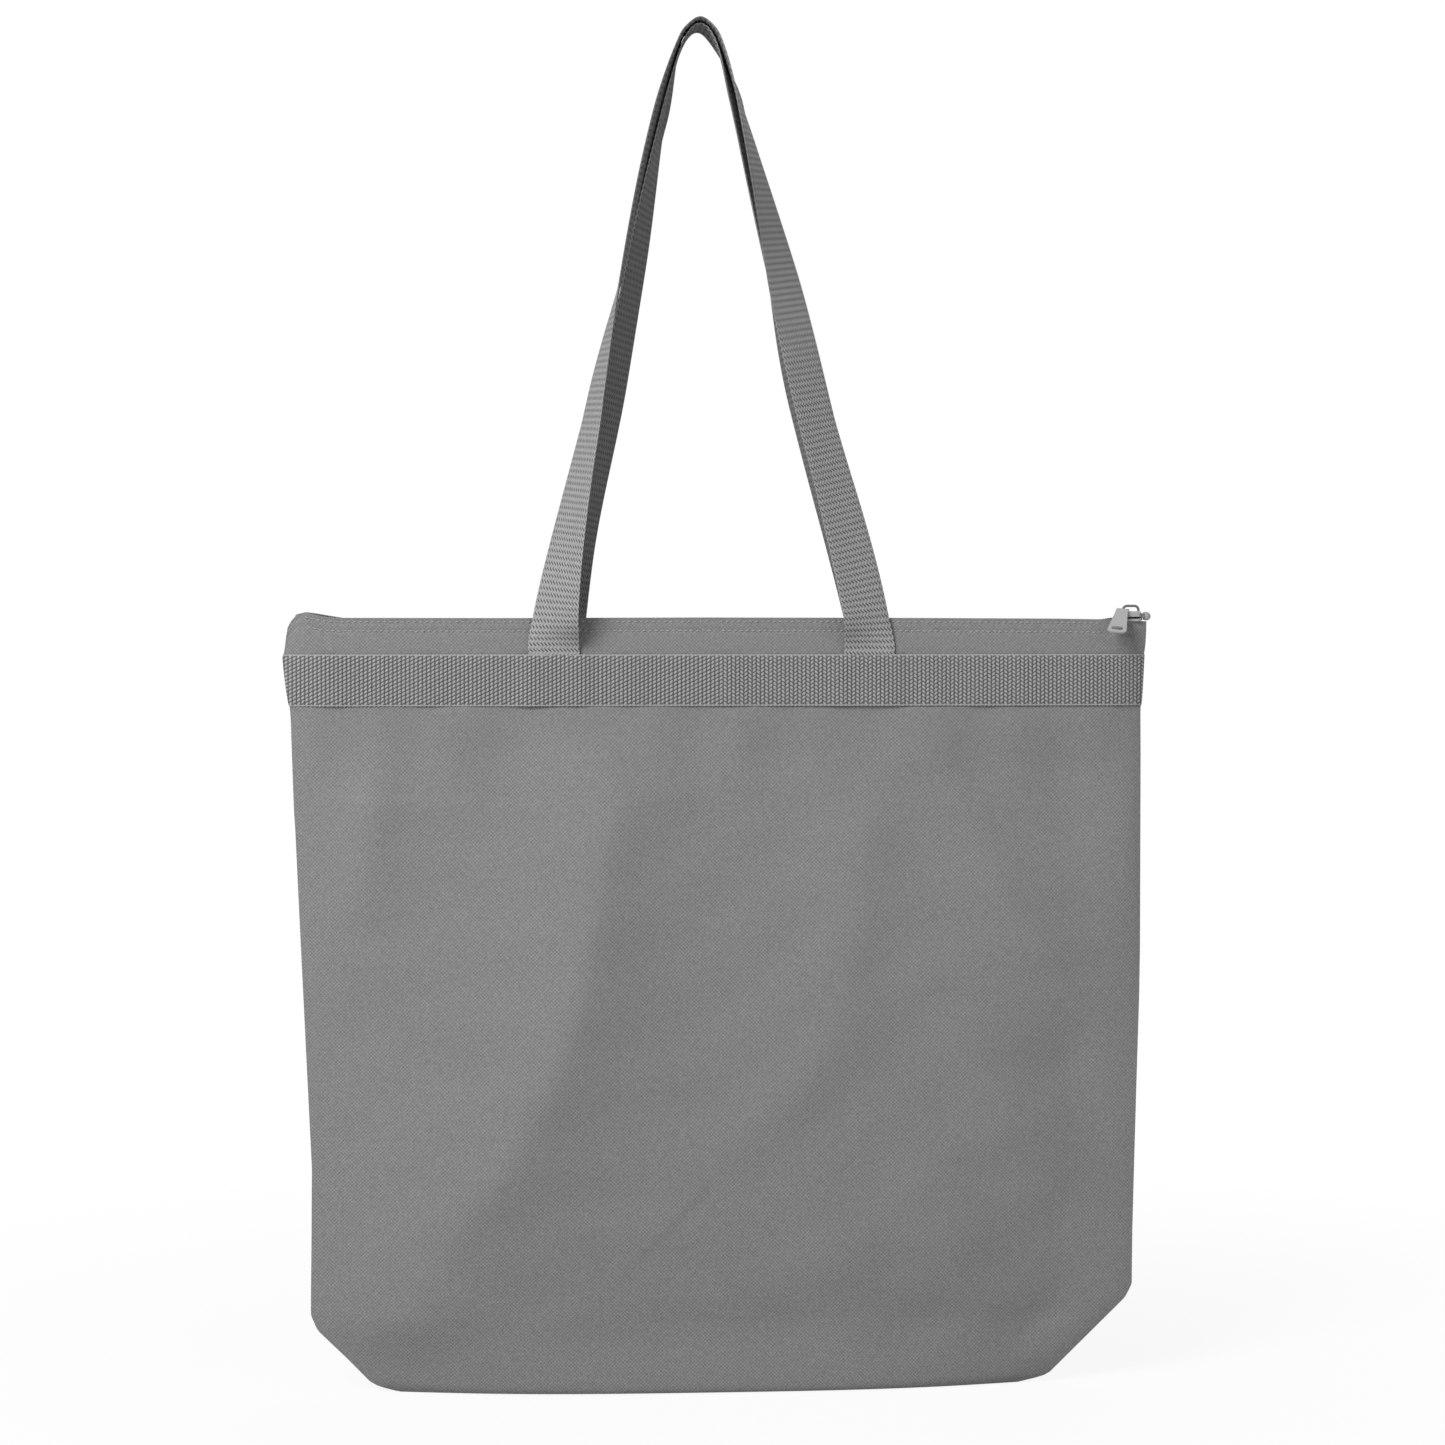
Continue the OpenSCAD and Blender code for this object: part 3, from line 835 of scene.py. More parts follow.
@dataclass
class ClothShell:
    """The cut cloth: front in two halves, back, bottom and seam tape."""

    form: BagForm
    # Flat size of half a panel in metres.
    half_flat: tuple[float, float] = (0.252, 0.478)
    columns: int = 88
    seam_columns: int = 18
    seam_share: float = 0.955
    cell: float = 2.8
    fine_cell: float = 1.9
    hem_t: float = 1.5
    fine_from: float = 398.0
    # Depth and width of the dent that a row of stitching pulls into the hem.
    dent: tuple[float, float] = (0.55, 1.1)
    base_z: float = 0.8
    tape_w: float = 11.0
    tape_t: float = 1.1
    tape_in: float = 5.0
    # Taped seams as place, lower end and upper end.
    seams: tuple[tuple[str, float, float], ...] = (("side", 50.0, 446.0), ("corner", 3.0, 48.0))

    def build(self) -> None:
        """Makes the cloth pieces and puts them on their bodies."""
        nodes = {Face.FRONT: ("front_panel", "front_panel_edges"), Face.BACK: ("back_panel",)}
        for cut in CUTS:
            piece = self._panel(cut)
            cut.settle(piece, *nodes[cut.face])
        self._bottom()
        for side in Side:
            for seam in self.seams:
                self._seam_tape(side, *seam)

    def _panel(self, cut: Cut) -> bpy.types.Object:
        """Makes one cloth panel with its turned hem.

        Args:
            cut: The stretch that it covers.

        Returns:
            The piece.
        """
        form = self.form
        # Columns lie closer in the middle and closest by the side seam.
        even = np.linspace(0, 1, self.columns)
        shares = mix(1 - (1 - even) ** 1.18, even**1.35, 0.75)
        by_seam = np.linspace(self.seam_share, 1, self.seam_columns)
        shares = np.r_[shares[shares < self.seam_share - 0.002], by_seam]
        u = cut.spread(shares)[:, None]
        hem_from = form.hem_low - 1
        rows = np.r_[
            np.geomspace(0.45, 6, 7),
            np.arange(7.5, 60, self.fine_cell),
            np.arange(61, self.fine_from, self.cell),
            np.arange(self.fine_from, hem_from, self.fine_cell),
        ]
        top = form.top(form.half_width(u, 446.0) * u)
        lip = self.hem_t / 2
        arc = np.linspace(0, math.pi, 7)[1:-1]
        # Heights and depths below the outer skin: up the face and the hem, over the lip, down inside.
        stretches = (
            (rows, 0.0),
            (mix(hem_from, top - lip, np.linspace(0.06, 1, 17)), 0.0),
            (top - lip + lip * np.sin(arc), lip * (1 - np.cos(arc))),
            (mix(top - lip, form.hem_low, np.linspace(0, 1, 7)), self.hem_t),
            (np.linspace(form.hem_low - 3, 1.3, 60), form.cloth_t),
        )
        z = np.concatenate([heights + 0 * u for heights, _ in stretches], axis=1)
        inset = np.concatenate([under + 0 * (heights + u) for heights, under in stretches], axis=1)
        share = np.broadcast_to(u, z.shape)
        x = share * form.half_width(share, z)
        thin = 1 - 0.45 * ease(0.965, 1.0, np.abs(share))
        depth = form.depth(share, np.minimum(z, form.hem_high)) + form.fold_lift(cut.face, x, share, z)
        depth = depth - form.hem_lean(share, z)
        deep, wide = self.dent
        for row in form.stitch_rows:
            depth = depth - deep * np.exp(-(((top - z - row) / wide) ** 2)) * (inset == 0)
        y = np.maximum(depth - inset * thin, 0.12)
        rings = np.stack([x, cut.face.value * y, z], -1)
        return make_skin(cut.name("cloth"), rings, np.stack([x, z + inset * 3], -1), OXFORD_CLOTH)

    def _bottom(self) -> None:
        """Makes the cloth that the bag stands on."""
        form = self.form
        u = np.linspace(-0.985, 0.985, 121)[:, None]
        x = u * form.half_width(u, self.base_z)
        under = np.linspace(-1, 1, 15)
        across = np.r_[under, under[::-1]]
        inside = np.r_[0 * under, 0 * under + 1]
        y = (form.depth(u, self.base_z) - 0.75) * across
        slack = 0.35 * np.sin(x / 17) * np.sin(y / 7 + 1) + 0.35
        lift = np.where(inside > 0, 0.85, 0.05) + np.where(np.abs(across) > 0.99, 0.25, 0.0)
        rings = np.stack([np.broadcast_to(x, y.shape), y, lift + inside * slack], -1)
        piece = make_skin("bottom_cloth", rings, rings[..., :2], OXFORD_CLOTH)
        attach(piece, "bag_body")
        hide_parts("bottom_panel")

    def _seam_tape(self, side: Side, place: str, low: float, high: float) -> None:
        """Makes the tape folded round the raw edges inside one seam.

        Args:
            side: Left or right.
            place: Side seam or cut corner.
            low: Height of its lower end.
            high: Height of its upper end.
        """
        form = self.form
        z = np.linspace(low, high, max(int((high - low) / 4), 12))[:, None]
        edge = form.edge(side, z)
        turn = np.linspace(0, math.tau, 25)[:-1]
        flat = squared_off(np.cos(turn), 0.35)
        thick = squared_off(np.sin(turn), 0.6)
        middle = edge - self.tape_in - self.tape_w / 2
        pucker = 0.35 * np.sin(z / 3.1) * np.maximum(-flat, 0)
        x = side.value * (middle + self.tape_w / 2 * flat)
        room = form.depth(np.abs(x) / edge, z) - 1.5
        y = np.minimum(self.tape_t / 2, np.maximum(room, 0.2)) * thick + pucker
        rings = np.stack(np.broadcast_arrays(x, y, z), -1)
        cut = np.stack(np.broadcast_arrays(x - middle, z), -1)
        node = f"{side.name.lower()}_{place}_binding"
        piece = make_skin(f"{node}_tape", rings, cut, SEAM_TAPE)
        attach(piece, "bag_body")
        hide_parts(node)


@dataclass
class MouthBands:
    """The webbing band sewn across each face, over the feet of the handles."""

    form: BagForm
    feet: dict[Face, tuple[float, float]] = field(
        default_factory=lambda: {Face.FRONT: (-97.0, 89.0), Face.BACK: (-94.5, 96.5)}
    )
    width: float = 30.0
    thick: float = 1.5
    lift: float = 0.95
    ramp: float = 11.0
    cell: float = 0.62
    half_length: float = 254.0
    overhang: float = 0.35
    # Flat size of half a band in metres.
    half_flat: tuple[float, float] = (0.256, 0.031)

    def build(self) -> None:
        """Makes the front band in two halves and the back band in one."""
        nodes = {Face.FRONT: ("front_band", "front_band_ends"), Face.BACK: ("back_band",)}
        for cut in CUTS:
            piece = self._band(cut)
            cut.settle(piece, *nodes[cut.face])
            cut.name("cloth")

    def _band(self, cut: Cut) -> bpy.types.Object:
        """Makes one length of band.

        Args:
            cut: The stretch that it covers.

        Returns:
            The piece.
        """
        form = self.form
        u = cut.spread(np.linspace(0, 1, int(self.half_length / self.cell)))[:, None]
        over, under = np.linspace(-1, 1, 25), np.linspace(1, -1, 9)[1:-1]
        across = np.r_[over, under]
        outer = np.r_[0 * over + 1, 0 * under]
        rim = np.r_[(1 - over**16) * 0.55 + 0.45, 0 * under]
        mid = (form.band_low + form.band_high) / 2
        z = mid + self.width / 2 * across
        x = u * (form.half_width(u, z) + self.overhang)
        # Turns of the weft stand out as small loops along the lower edge.
        loops = -0.4 * np.abs(np.sin(x * math.pi / BAND_WEBBING.across_mm)) * (across < -0.99)
        near = np.minimum(*(np.abs(x - foot) for foot in self.feet[cut.face]))
        hump = self.lift * (1 - ease(self.width / 2 - 1, self.width / 2 + self.ramp, near))
        end = ease(0.988, 1.0, np.abs(u))
        seat = form.depth(np.minimum(np.abs(u), 1), mid) + 0.12 + hump
        wave = 0.22 * np.sin(x / 9.1 + 1.3) + 0.16 * np.sin(x / 4.7)
        selvage = 0.25 * np.exp(-(((np.abs(across) - 0.965) / 0.025) ** 2))
        crown = 0.12 * (1 - across**2) + selvage + wave * (1 - end)
        y = seat + outer * (self.thick * rim + crown) * (1 - 0.35 * end) - 0.5 * end
        y = np.maximum(y, 0.15 + 0.6 * outer)
        rings = np.stack([x, cut.face.value * y, np.broadcast_to(z + loops, x.shape)], -1)
        flat = np.stack(np.broadcast_arrays(x, z - mid), -1)
        name = cut.name("band") if cut.face is Face.FRONT else "back_band_webbing"
        return make_skin(name, rings, flat, BAND_WEBBING)


@dataclass(frozen=True)
class HandleRun:
    """One handle, with (left, right) values for its two sides.

    A side is drawn in by tuck and bowed out above the band, turns edge on at its own pace, stands at an
    angle near the foot, and closes in to the middle plane between two heights. Tilt is (degrees past edge
    on, heights where it comes in, heights where it goes), and a share of it draws the side further in.
    Heights are shares of the handle's own, and its top is pressed flat.
    """

    name: str
    face: Face
    height: float
    span: float
    shift: float
    apex_y: float
    press: tuple[float, float]
    tuck: tuple[float, float]
    pace: tuple[float, float]
    tilt: tuple[tuple[float, ...], tuple[float, ...]]
    close_from: tuple[float, float]
    close_to: tuple[float, float]
    bow: tuple[float, float] = (0.0, 0.0)
    foot_turn: tuple[float, float] = (0.0, 0.0)
    follow: tuple[float, float] = (0.0, 0.0)


@dataclass
class Handles:
    """The two webbing handles, flat at the feet, turning edge on as they gather at the top."""

    form: BagForm
    width: float = 30.0
    thick: float = 1.5
    pressed: float = 0.8
    crown: float = 120.0
    top_shift: float = -11.5
    foot_mid: float = 8.3
    foot_low: float = 408.0
    foot_steps: int = 14
    steps: int = 420
    # Heights between which a handle bends when it swings.
    bend: tuple[float, float] = (434.5, 450.0)
    runs: tuple[HandleRun, ...] = (
        HandleRun(
            "front_handle", Face.FRONT, height=374.0, span=93.0, shift=-4.0, apex_y=4.4, press=(3.0, 0.965),
            tuck=(-3.0, 1.6), pace=(0.55, 1.85), close_from=(0.08, 0.11), close_to=(0.5, 0.55),
            tilt=((20.0, 0.4, 0.78, 0.84, 1.0), (-4.5, 0.3, 0.65, 0.8, 0.96)),
            bow=(2.8, 2.8), foot_turn=(0.0, 22.0), follow=(0.62, 0.0),
        ),
        HandleRun(
            "back_handle", Face.BACK, height=369.0, span=95.5, shift=1.0, apex_y=1.0, press=(0.8, 0.95),
            tuck=(5.6, 12.4), pace=(0.52, 0.42), close_from=(0.1, 0.4), close_to=(0.77, 0.8),
            tilt=((-20.0, 0.15, 0.45, 0.62, 0.97), (20.0, 0.4, 0.8, 0.88, 1.0)), follow=(0.0, -0.55),
        ),
    )

    def build(self) -> None:
        """Makes both handles with their feet."""
        for run in self.runs:
            piece, length = self._ribbon(run)
            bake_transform(piece)
            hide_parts(run.name, f"{run.name}_feet")

    def _rise(self, s: Array, run: HandleRun) -> Array:
        """Height along the handle as a share of its top, with s from -1 to 1."""
        return 1 - (np.cosh(s * self._sweep(run)) - 1) * self.crown / run.height

    def _sweep(self, run: HandleRun) -> float:
        """Half length of the handle's curve in its own measure."""
        return math.acosh(1 + run.height / self.crown)

    def _turn(self, s: Array, run: HandleRun) -> Array:
        """Works out the turn of the webbing about its own length.

        Args:
            s: Places along the handle, from -1 at the left foot to 1 at the right one.
            run: Which handle.

        Returns:
            The turn in radians.
        """
        t = np.maximum(self._rise(s, run), 0)
        pace, foot = (np.where(s < 0, *pair) for pair in (run.pace, run.foot_turn))
        turn = 90 * np.sin(math.pi / 2 * t**pace) * ease(0, 0.05, t) + self._tilt(s, run)
        return np.radians(turn + foot * ease(0, 0.06, t) * (1 - ease(0.25, 0.6, t)))

    def _tilt(self, s: Array, run: HandleRun) -> Array:
        """Works out the part of the turn that goes past edge on.

        Args:
            s: Places along the handle.
            run: Which handle.

        Returns:
            That part in degrees.
        """
        t = np.maximum(self._rise(s, run), 0)
        sides = (size * ease(a, b, t) * (1 - ease(c, d, t)) for size, a, b, c, d in run.tilt)
        return np.where(s < 0, *sides)

    def _middle(self, s: Array, run: HandleRun) -> Array:
        """Works out the middle line of the handle as it lies on the front face.

        Args:
            s: Places along the handle.
            run: Which handle.

        Returns:
            The point at each place.
        """
        t = self._rise(s, run)
        pairs = (run.tuck, run.close_from, run.close_to, run.bow, run.follow)
        tuck, low, high, bow, follow = (np.where(s < 0, *pair) for pair in pairs)
        swell = self.width / 2 * np.sin(self._turn(s, run)) * (1 - ease(low, high, t))
        sweep = self._sweep(run)
        x = mix(run.shift, self.top_shift, t) + run.span * np.sinh(s * sweep) / math.sinh(sweep)
        x = x - np.sign(s) * tuck * np.sin(math.pi * np.maximum(t, 0))
        x = x + np.sign(s) * bow * np.sin(math.pi * np.clip(t / 0.36, 0, 1) ** 0.6)
        x = x - np.sign(s) * follow * self.width / 2 * np.sin(np.radians(self._tilt(s, run)))
        y = -mix(self.foot_mid, run.apex_y, ease(0.1, 0.95, t)) - swell
        z = self.form.band_high + 0.3 + run.height * t - run.press[0] * ease(run.press[1], 1, t)
        return np.stack([x, y, z], -1)

    def _ribbon(self, run: HandleRun) -> tuple[bpy.types.Object, float]:
        """Makes one handle as a single length of webbing.

        Args:
            run: Which handle.

        Returns:
            The piece and its length in millimetres.
        """
        s = np.linspace(-1, 1, self.steps)
        middle = self._middle(s, run)
        along = unit(self._middle(s + 0.002, run) - self._middle(s - 0.002, run))
        inward = unit(np.stack([along[:, 2], 0 * s, -along[:, 0]], -1))
        plain = np.stack([np.where(s < 0, 1.0, -1.0), 0 * s, 0 * s], -1)
        flat = unit(mix(plain, inward, ease(0, 0.12, self._rise(s, run))[:, None]))
        turn = self._turn(s, run)[:, None]
        across = np.cos(turn) * flat - np.sin(turn) * np.array([0, 1.0, 0])
        face = unit(np.cross(across, along))
        # The feet go straight down under the band, pressed thin by its stitching.
        down = np.linspace(middle[0, 2] - 1.5, self.foot_low, self.foot_steps)
        press = ease(0, 5, middle[0, 2] - down)
        seat = -mix(self.foot_mid, self.foot_mid - (self.thick - self.pressed) / 2 - 0.15, press)
        foot = np.stack([0 * down, seat, down], -1)
        left, right = (foot + middle[end] * [1, 0, 0] for end in (0, -1))
        many = np.ones((self.foot_steps, 1))
        middle = np.r_[left[::-1], middle, right]
        across = np.r_[many * [1, 0, 0], across, many * [-1, 0, 0]]
        face = np.r_[many * face[0], face, many * face[-1]]
        thin = mix(1.0, self.pressed / self.thick, press)
        thick = np.r_[thin[::-1], np.ones(self.steps), thin]
        run_mm = np.r_[0, np.cumsum(np.linalg.norm(np.diff(middle, axis=0), axis=1))]
        outer = np.linspace(-1, 1, 19)
        reverse = outer[-2:0:-1]
        places = np.r_[outer, reverse]
        layer = np.r_[0 * outer + 1, 0 * reverse - 1]
        rim = 1 - 0.55 * np.abs(places) ** 14
        rings = (
            middle[:, None, :]
            + across[:, None, :] * (self.width / 2 * places)[None, :, None]
            + face[:, None, :] * (thick[:, None] * self.thick / 2 * layer * rim)[:, :, None]
        )
        if run.face is Face.BACK:
            rings = rings * np.array([1, -1, 1])
        cut = np.stack(np.broadcast_arrays(self.width / 2 * places, run_mm[:, None]), -1)
        piece = make_skin(f"{run.name}_webbing", rings, cut, HANDLE_WEBBING)
        # Marks the inner layer for the painted shade on the reverse face.
        turned = np.broadcast_to((layer < 0).astype(np.float32), rings.shape[:2])
        piece.data.attributes.new("reverse", "FLOAT", "POINT").data.foreach_set("value", np.ravel(turned))
        return piece, float(run_mm[-1])


@dataclass
class ZipLine:
    """Tapes, coil, sewn ends and stops of the zip."""

    form: BagForm
    pitch: float = 1.5
    wire: float = 0.34
    tape_t: float = 0.45
    tape_foot: float = 438.0
    tape_far: tuple[float, float] = (1.3, 4.1)
    # Flat size of half a tape in metres.
    half_flat: tuple[float, float] = (0.0235, 0.25)
    reach: tuple[float, float] = (-249.0, 250.5)
    # Middle of a coil turn from the bag's middle plane, and half its depth and height.
    turn_mid: float = 1.35
    turn_half: tuple[float, float] = (1.85, 0.72)
    turn_steps: int = 12
    # Sealed tail: where its round end starts and how far that reaches, half its depth and height, level.
    tail_x: float = 255.6
    tail_round: float = 2.9
    tail_half: tuple[float, float] = (2.7, 2.6)
    tail_z: float = 457.72
    # Bottom stop: where it starts, its length, half its depth and height.
    stop_x: float = -248.2
    stop_l: float = 1.8
    stop_half: tuple[float, float] = (2.3, 1.35)
    climb_blur: float = 4.0
    # Height of the coil's middle along the mouth: it climbs where the ends are sewn in.
    climb: tuple[tuple[float, float], ...] = (
        (-256, 452.5), (-250, 455.8), (-246, 458.0), (-242, 459.0), (-236, 458.2), (-228, 456.8),
        (-216, 454.9), (0, 454.9), (228, 454.9), (237, 456.2), (241, 457.7), (247, 457.8), (251, 456.8),
        (256, 455.0),
    )

    def build(self) -> None:
        """Makes the zip's tapes, coils, stops and tail."""
        for cut in CUTS:
            self._tape(cut)
            self._coil(cut)
        self._tail()

    def _height(self, x: Any) -> Array:
        """Height of the coil's middle."""
        return soft_table(self.climb, x, self.climb_blur)

    def _tape(self, cut: Cut) -> None:
        """Makes one tape, bent from under the coil down into the hem.

        Args:
            cut: The stretch that it covers.
        """
        form = self.form
        u = cut.spread(np.linspace(0, 1, 130))[:, None]
        x = np.abs(u) * np.where(u < 0, *self.reach)
        share = form.hem_share(x)
        far = np.clip(form.depth(np.minimum(share, 1), form.hem_mid) - 2.6, *self.tape_far)
        high = self._height(x) - 0.95
        turn = np.linspace(0, math.pi / 2, 6)
        y_path = np.concatenate(
            [mix(0.9, far - 1, np.linspace(0, 0.9, 6)), far - 1 + np.sin(turn), far + np.zeros(9)], axis=1
        )
        fall = mix(high - 1.6, self.tape_foot, np.linspace(0, 1, 9))
        z_path = np.concatenate([high + np.zeros(6), high - 1 + np.cos(turn), fall], axis=1)
        step = np.stack([np.gradient(y_path, axis=1), np.gradient(z_path, axis=1)], -1)
        normal = unit(np.stack([-step[..., 1], step[..., 0]], -1)) * self.tape_t / 2
        y, z = (
            np.concatenate([path + normal[..., k], (path - normal[..., k])[:, ::-1]], axis=1)
            for k, path in enumerate((y_path, z_path))
        )
        rings = np.stack([np.broadcast_to(x, y.shape), cut.face.value * np.maximum(y, 0.3), z], -1)
        down = np.r_[np.arange(21), np.arange(21)[::-1]] * 1.2
        flat = np.stack(np.broadcast_arrays(down, x), -1)
        piece = make_skin(cut.name("zip_tape_cloth"), rings, flat, ZIP_TAPE)
        front = cut.face is Face.FRONT
        cut.settle(piece, "front_zip_tape" if front else "back_zip_tape")

    def _coil(self, cut: Cut) -> None:
        """Winds one half of the coil.

        Args:
            cut: The stretch that it covers.
        """
        low = self.reach[0] + 3 if Side.LEFT in cut.sides else 0.0
        high = self.reach[1] + 4 if Side.RIGHT in cut.sides else 0.0
        turns = int((high - low) / self.pitch)
        around = np.arange(turns * self.turn_steps + 1) / self.turn_steps
        angle = around * math.tau + (math.pi if cut.face is Face.BACK else 0.0)
        x = low + around * self.pitch
        # Each turn is flat towards its tape and has a head that reaches between the other half's turns.
        deep, tall = self.turn_half
        y = self.turn_mid - deep * np.cos(angle) * np.where(np.cos(angle) > 0, 1.0, 0.75)
        z = self._height(x) + tall * np.sin(angle)
        line = np.stack([x, cut.face.value * y, z], -1)
        way = unit(np.gradient(line, axis=0))
        aside = unit(np.cross(way, np.array([1.0, 0.2, 0.1])))
        third = np.cross(way, aside)
        spin = np.linspace(0, math.tau, 7)[:-1, None]
        rings = line[:, None] + self.wire * (np.cos(spin) * aside[:, None] + np.sin(spin) * third[:, None])
        points, faces = loft(rings)
        name = cut.name("zip_coil_turns")
        piece = make_piece(name, points, faces, points[:, :2], NYLON_COIL, crease=80)
        nodes = {Face.FRONT: ("front_zip_coil",), Face.BACK: ("back_zip_coil", "left_zip_end")}
        cut.settle(piece, *nodes[cut.face])

    def _tail(self) -> None:
        """Makes the sealed end of the tapes past the right side seam, and the stop at the left."""
        round_end = np.linspace(0.12, 1, 9) * math.pi / 2
        neck = np.linspace(self.tail_x - 1.1, self.tail_x, 5)
        x = np.r_[self.tail_x - 1.4, neck, self.tail_x + self.tail_round * np.sin(round_end)]
        size = np.r_[0.8, np.linspace(0.92, 1.0, 5), np.cos(round_end * 0.97)]
        droop = self.tail_z - 0.05 * (x - self.tail_x)
        tail = self._stub("zip_tail", x, size, self.tail_half, droop, TAIL_TAPE)
        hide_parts("right_zip_end")
        x = self.stop_x + self.stop_l * np.array([0, 0.04, 0.14, 0.3, 0.5, 0.7, 0.86, 0.96, 1])
        size = np.array([0.8, 0.9, 0.98, 1, 1, 1, 0.98, 0.9, 0.8])
        stop = self._stub("bottom_stop_crimp", x, size, self.stop_half, self._height(x), DARK_CRIMP)
        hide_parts("zip_bottom_stop")

    def _stub(
        self, name: str, x: Array, size: Array, half: tuple[float, float], height: Array, finish: Finish
    ) -> bpy.types.Object:
        """Makes a short rounded piece along the mouth.

        Args:
            name: Name of the piece.
            x: Places of its rings.
            size: Share of full size at each ring.
            half: Half its depth and half its height.
            height: Height of its middle at each ring.
            finish: The finish that dresses it.

        Returns:
            The piece, riding on the bag.
        """
        turn = np.linspace(0, math.tau, 29)[:-1]
        y = half[0] * squared_off(np.cos(turn), 0.8)
        z = half[1] * squared_off(np.sin(turn), 0.8)
        wide = np.broadcast_to(x[:, None], (len(x), len(turn)))
        rings = np.stack([wide, size[:, None] * y, height[:, None] + size[:, None] * z], -1)
        cut = np.stack([rings[..., 1] + rings[..., 2], rings[..., 0]], -1)
        piece = make_skin(name, rings, cut, finish)
        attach(piece, "bag_body")
        return piece


@dataclass
class HemStitching:
    """Two rows of lockstitch along each hem."""

    form: BagForm
    pitch: float = 3.5
    length: float = 2.6
    radius: float = 0.46
    reach: tuple[float, float] = (-243.0, 232.0)

    def build(self) -> None:
        """Makes the stitches of both hems."""
        for cut in CUTS:
            piece = self._stitches(cut)
            front = cut.face is Face.FRONT
            cut.settle(piece, "front_hem_stitching" if front else "back_hem_stitching")

    def _stitches(self, cut: Cut) -> bpy.types.Object:
        """Makes the stitches on one stretch of hem.

        Args:
            cut: The stretch that they cover.

        Returns:
            The piece.
        """
        form = self.form
        low = self.reach[0] if Side.LEFT in cut.sides else self.pitch / 2
        high = self.reach[1] if Side.RIGHT in cut.sides else -self.pitch / 2
        count = int((high - low) / self.pitch)
        middles = (np.arange(count) + 0.5) * self.pitch + (low if Side.LEFT in cut.sides else 0)
        along = np.array([-1, -0.86, -0.45, 0, 0.45, 0.86, 1])
        size = self.radius * np.array([0.3, 0.72, 0.97, 1, 0.97, 0.72, 0.3])[:, None]
        turn = np.linspace(0, math.tau, 9)[:-1]
        points = []
        for number, below in enumerate(form.stitch_rows):
            at = (middles + number * self.pitch * 0.4)[:, None]
            x = at + self.length / 2 * along
            z = form.top(x) - below + 0.12 * np.sin(at * 0.69 + number)
            share = form.hem_share(x)
            y = form.depth(share, form.hem_mid) - form.hem_lean(share, z) - 0.1 - 0.85 * along**2
            out = cut.face.value * (y[..., None] + size * np.cos(turn))
            high_z = z[..., None] + size * np.sin(turn)
            points.append(np.stack([np.broadcast_to(x[..., None], out.shape), out, high_z], -1))
        stitches = np.concatenate(points)
        first, skin = loft(stitches[0])
        skin = outward(first - first.mean(0), skin)
        each = len(first)
        faces = [[v + each * i for v in one] for i in range(len(stitches)) for one in skin]
        joined = stitches.reshape(-1, 3)
        name = cut.name("hem_stitches")
        return make_piece(name, joined, faces, joined[:, [0, 2]], SEWING_THREAD, crease=80)


@dataclass
class SliderAndPull:
    """The die-cast slider, its bridge and tab, and the top stops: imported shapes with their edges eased."""

    eased: float = 0.22

    def build(self) -> None:
        """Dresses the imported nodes."""
        dressed = {
            "slider_body": ENAMELLED_ZINC, "slider_bridge": BRIDGE_WIRE, "pull_tab": ENAMELLED_ZINC,
            "zip_top_stops": DARK_CRIMP,
        }
        for name, finish in dressed.items():
            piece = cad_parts[name]
            piece.data.materials.clear()
            piece.data.materials.append(MATERIALS[finish.name])
            edge = piece.modifiers.new("eased", "BEVEL")
            edge.width = self.eased * MM
            edge.segments = 3
            edge.limit_method = "ANGLE"
            edge.angle_limit = math.radians(35)
            LOG.info("%s: packed shape, %s", name, finish.name)


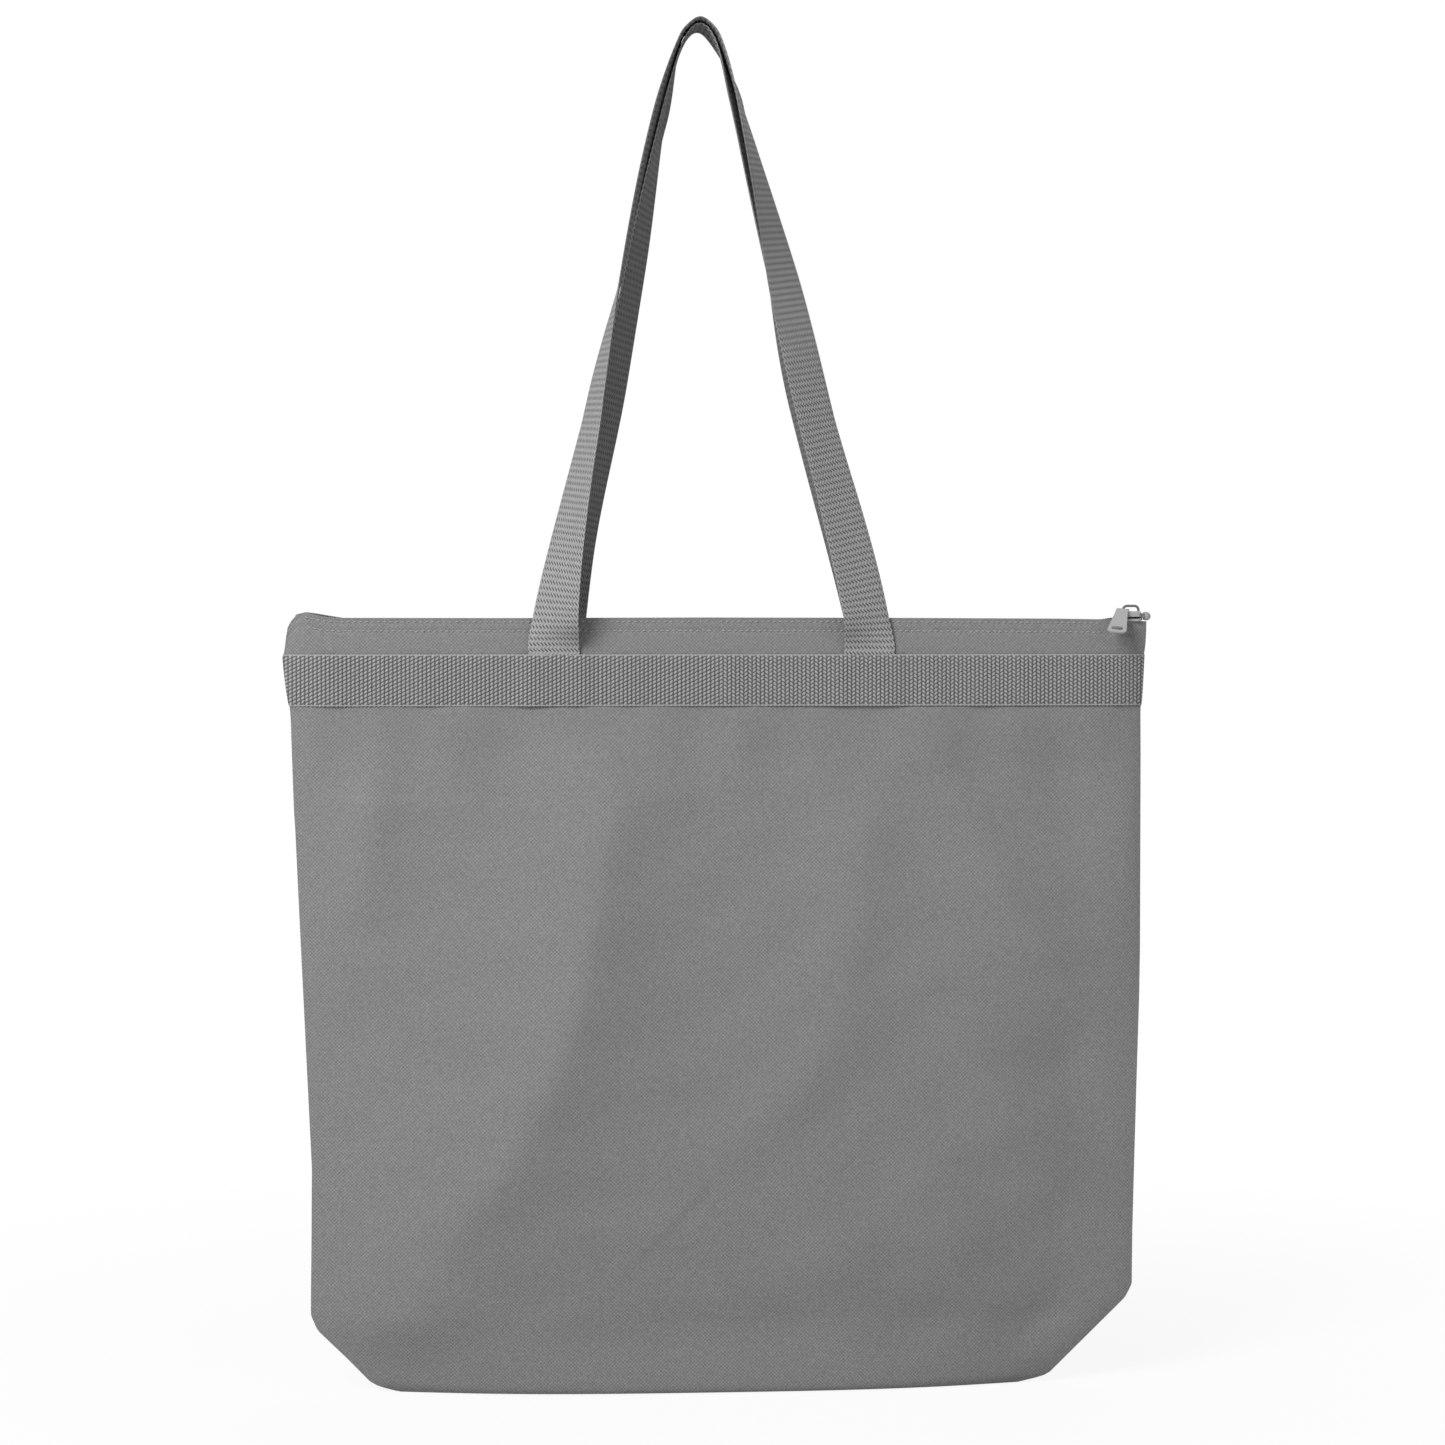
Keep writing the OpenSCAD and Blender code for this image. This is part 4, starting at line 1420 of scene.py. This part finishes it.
@dataclass
class Studio:
    """Floor, light and camera."""

    distance: float = 2.0
    pitch_deg: float = 1.5
    yaw_deg: float = -4.08
    target: tuple[float, float, float] = (0.00265, 0.0, 0.3947)
    pixel_mm: float = 0.5915
    image_px: int = 1445
    floor_half: float = 6.0

    def build(self) -> None:
        """Makes the floor, the lamps, the world and the camera."""
        self._world()
        self._floor()
        self._lamp("key_softbox", (-1.5, -2.0, 2.1), (0.1, 0, 0.3), 1.2, 77)
        self._lamp("front_fill", (1.5, -2.2, 1.3), (0.1, 0, 0.35), 1.8, 7)
        self._lamp("back_glow", (0.6, 1.6, 1.9), (0, 0, 0.4), 1.4, 14)
        self._camera()
        bpy.context.scene.view_settings.view_transform = "Standard"

    def _world(self) -> None:
        """Makes the backdrop white to the eye and a dim even light on the bag."""
        world = bpy.data.worlds.new("studio")
        bpy.context.scene.world = world
        tree = empty_tree(world)
        dim = add_node(tree, "Background", Color=(1, 1, 1, 1), Strength=0.22)
        white = add_node(tree, "Background", Color=(1, 1, 1, 1), Strength=1.0)
        both = add_node(tree, "MixShader", in0=self._seen(tree), in1=dim.outputs[0], in2=white.outputs[0])
        add_node(tree, "OutputWorld", Surface=both.outputs[0])

    def _seen(self, tree: bpy.types.NodeTree) -> Any:
        """Tells what the eye sees from what only lights the bag.

        Args:
            tree: The node tree.

        Returns:
            The socket that is 1 where a thing is seen itself, in a gloss or through glass.
        """
        path = add_node(tree, "LightPath")
        plain = add_node(
            tree, "Math", {"operation": "MAXIMUM"},
            in0=path.outputs["Is Camera Ray"], in1=path.outputs["Is Transmission Ray"],
        )
        both = add_node(
            tree, "Math", {"operation": "MAXIMUM"}, in0=plain.outputs[0], in1=path.outputs["Is Glossy Ray"]
        )
        return both.outputs[0]

    def _floor(self) -> None:
        """Makes a pale floor that keeps the bag's shadow and fades into the white backdrop."""
        mesh = bpy.data.meshes.new("floor")
        size = self.floor_half
        corners = [(-size, -size, 0), (size, -size, 0), (size, size, 0), (-size, size, 0)]
        mesh.from_pydata(corners, [], [(0, 1, 2, 3)])
        floor = add_object("floor", mesh)
        floor.location.z = -0.0004
        material = bpy.data.materials.new("matt_white_floor_paint")
        tree = empty_tree(material)
        paint = add_node(tree, "BsdfDiffuse", Color=linear("#e6e6e6"), Roughness=0.4)
        glow = add_node(tree, "Emission", Color=(1, 1, 1, 1), Strength=1.0)
        place = add_node(tree, "TexCoord")
        away = add_node(tree, "VectorMath", {"operation": "LENGTH"}, in0=place.outputs["Object"])
        fade = add_node(tree, "MapRange", in0=away.outputs["Value"], in1=0.25, in2=0.9, in3=0.9, in4=1.0)
        share = add_node(tree, "Math", {"operation": "MULTIPLY"}, in0=self._seen(tree), in1=fade.outputs[0])
        both = add_node(tree, "MixShader", in0=share.outputs[0], in1=paint.outputs[0], in2=glow.outputs[0])
        add_node(tree, "OutputMaterial", Surface=both.outputs[0])
        mesh.materials.append(material)

    def _lamp(self, name: str, at: tuple, towards: tuple, size: float, power: float) -> None:
        """Adds one softbox.

        Args:
            name: Name of the lamp.
            at: Its place in metres.
            towards: The point that it faces.
            size: Its side in metres.
            power: Its power in watts.
        """
        data = bpy.data.lights.new(name, "AREA")
        data.shape = "SQUARE"
        data.size = size
        data.energy = power
        self._aim(name, data, Vector(at), Vector(towards))

    def _camera(self) -> None:
        """Puts the camera where the photograph was taken from."""
        yaw, pitch = math.radians(self.yaw_deg), math.radians(self.pitch_deg)
        back = Vector((math.sin(yaw) * math.cos(pitch), -math.cos(yaw) * math.cos(pitch), math.sin(pitch)))
        data = bpy.data.cameras.new("camera")
        data.sensor_width = 36.0
        data.lens = data.sensor_width * self.distance / (self.pixel_mm * MM) / self.image_px
        target = Vector(self.target)
        bpy.context.scene.camera = self._aim("camera", data, target + back * self.distance, target)

    def _aim(self, name: str, data: Any, at: Vector, towards: Vector) -> bpy.types.Object:
        """Adds a lamp or the camera.

        Args:
            name: Its name.
            data: Its light or camera data.
            at: Its place in metres.
            towards: The point that it faces.

        Returns:
            The object.
        """
        made = add_object(name, data)
        made.location = at
        made.rotation_mode = "QUATERNION"
        made.rotation_quaternion = (towards - at).to_track_quat("-Z", "Y")
        return made


def main() -> None:
    """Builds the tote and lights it."""
    logging.basicConfig(level=logging.INFO, format="%(name)s %(message)s")
    Studio().build()
    form = BagForm()
    ClothShell(form).build()
    MouthBands(form).build()
    Handles(form).build()
    ZipLine(form).build()
    HemStitching(form).build()
    SliderAndPull().build()


if __name__ == "__main__":
    main()
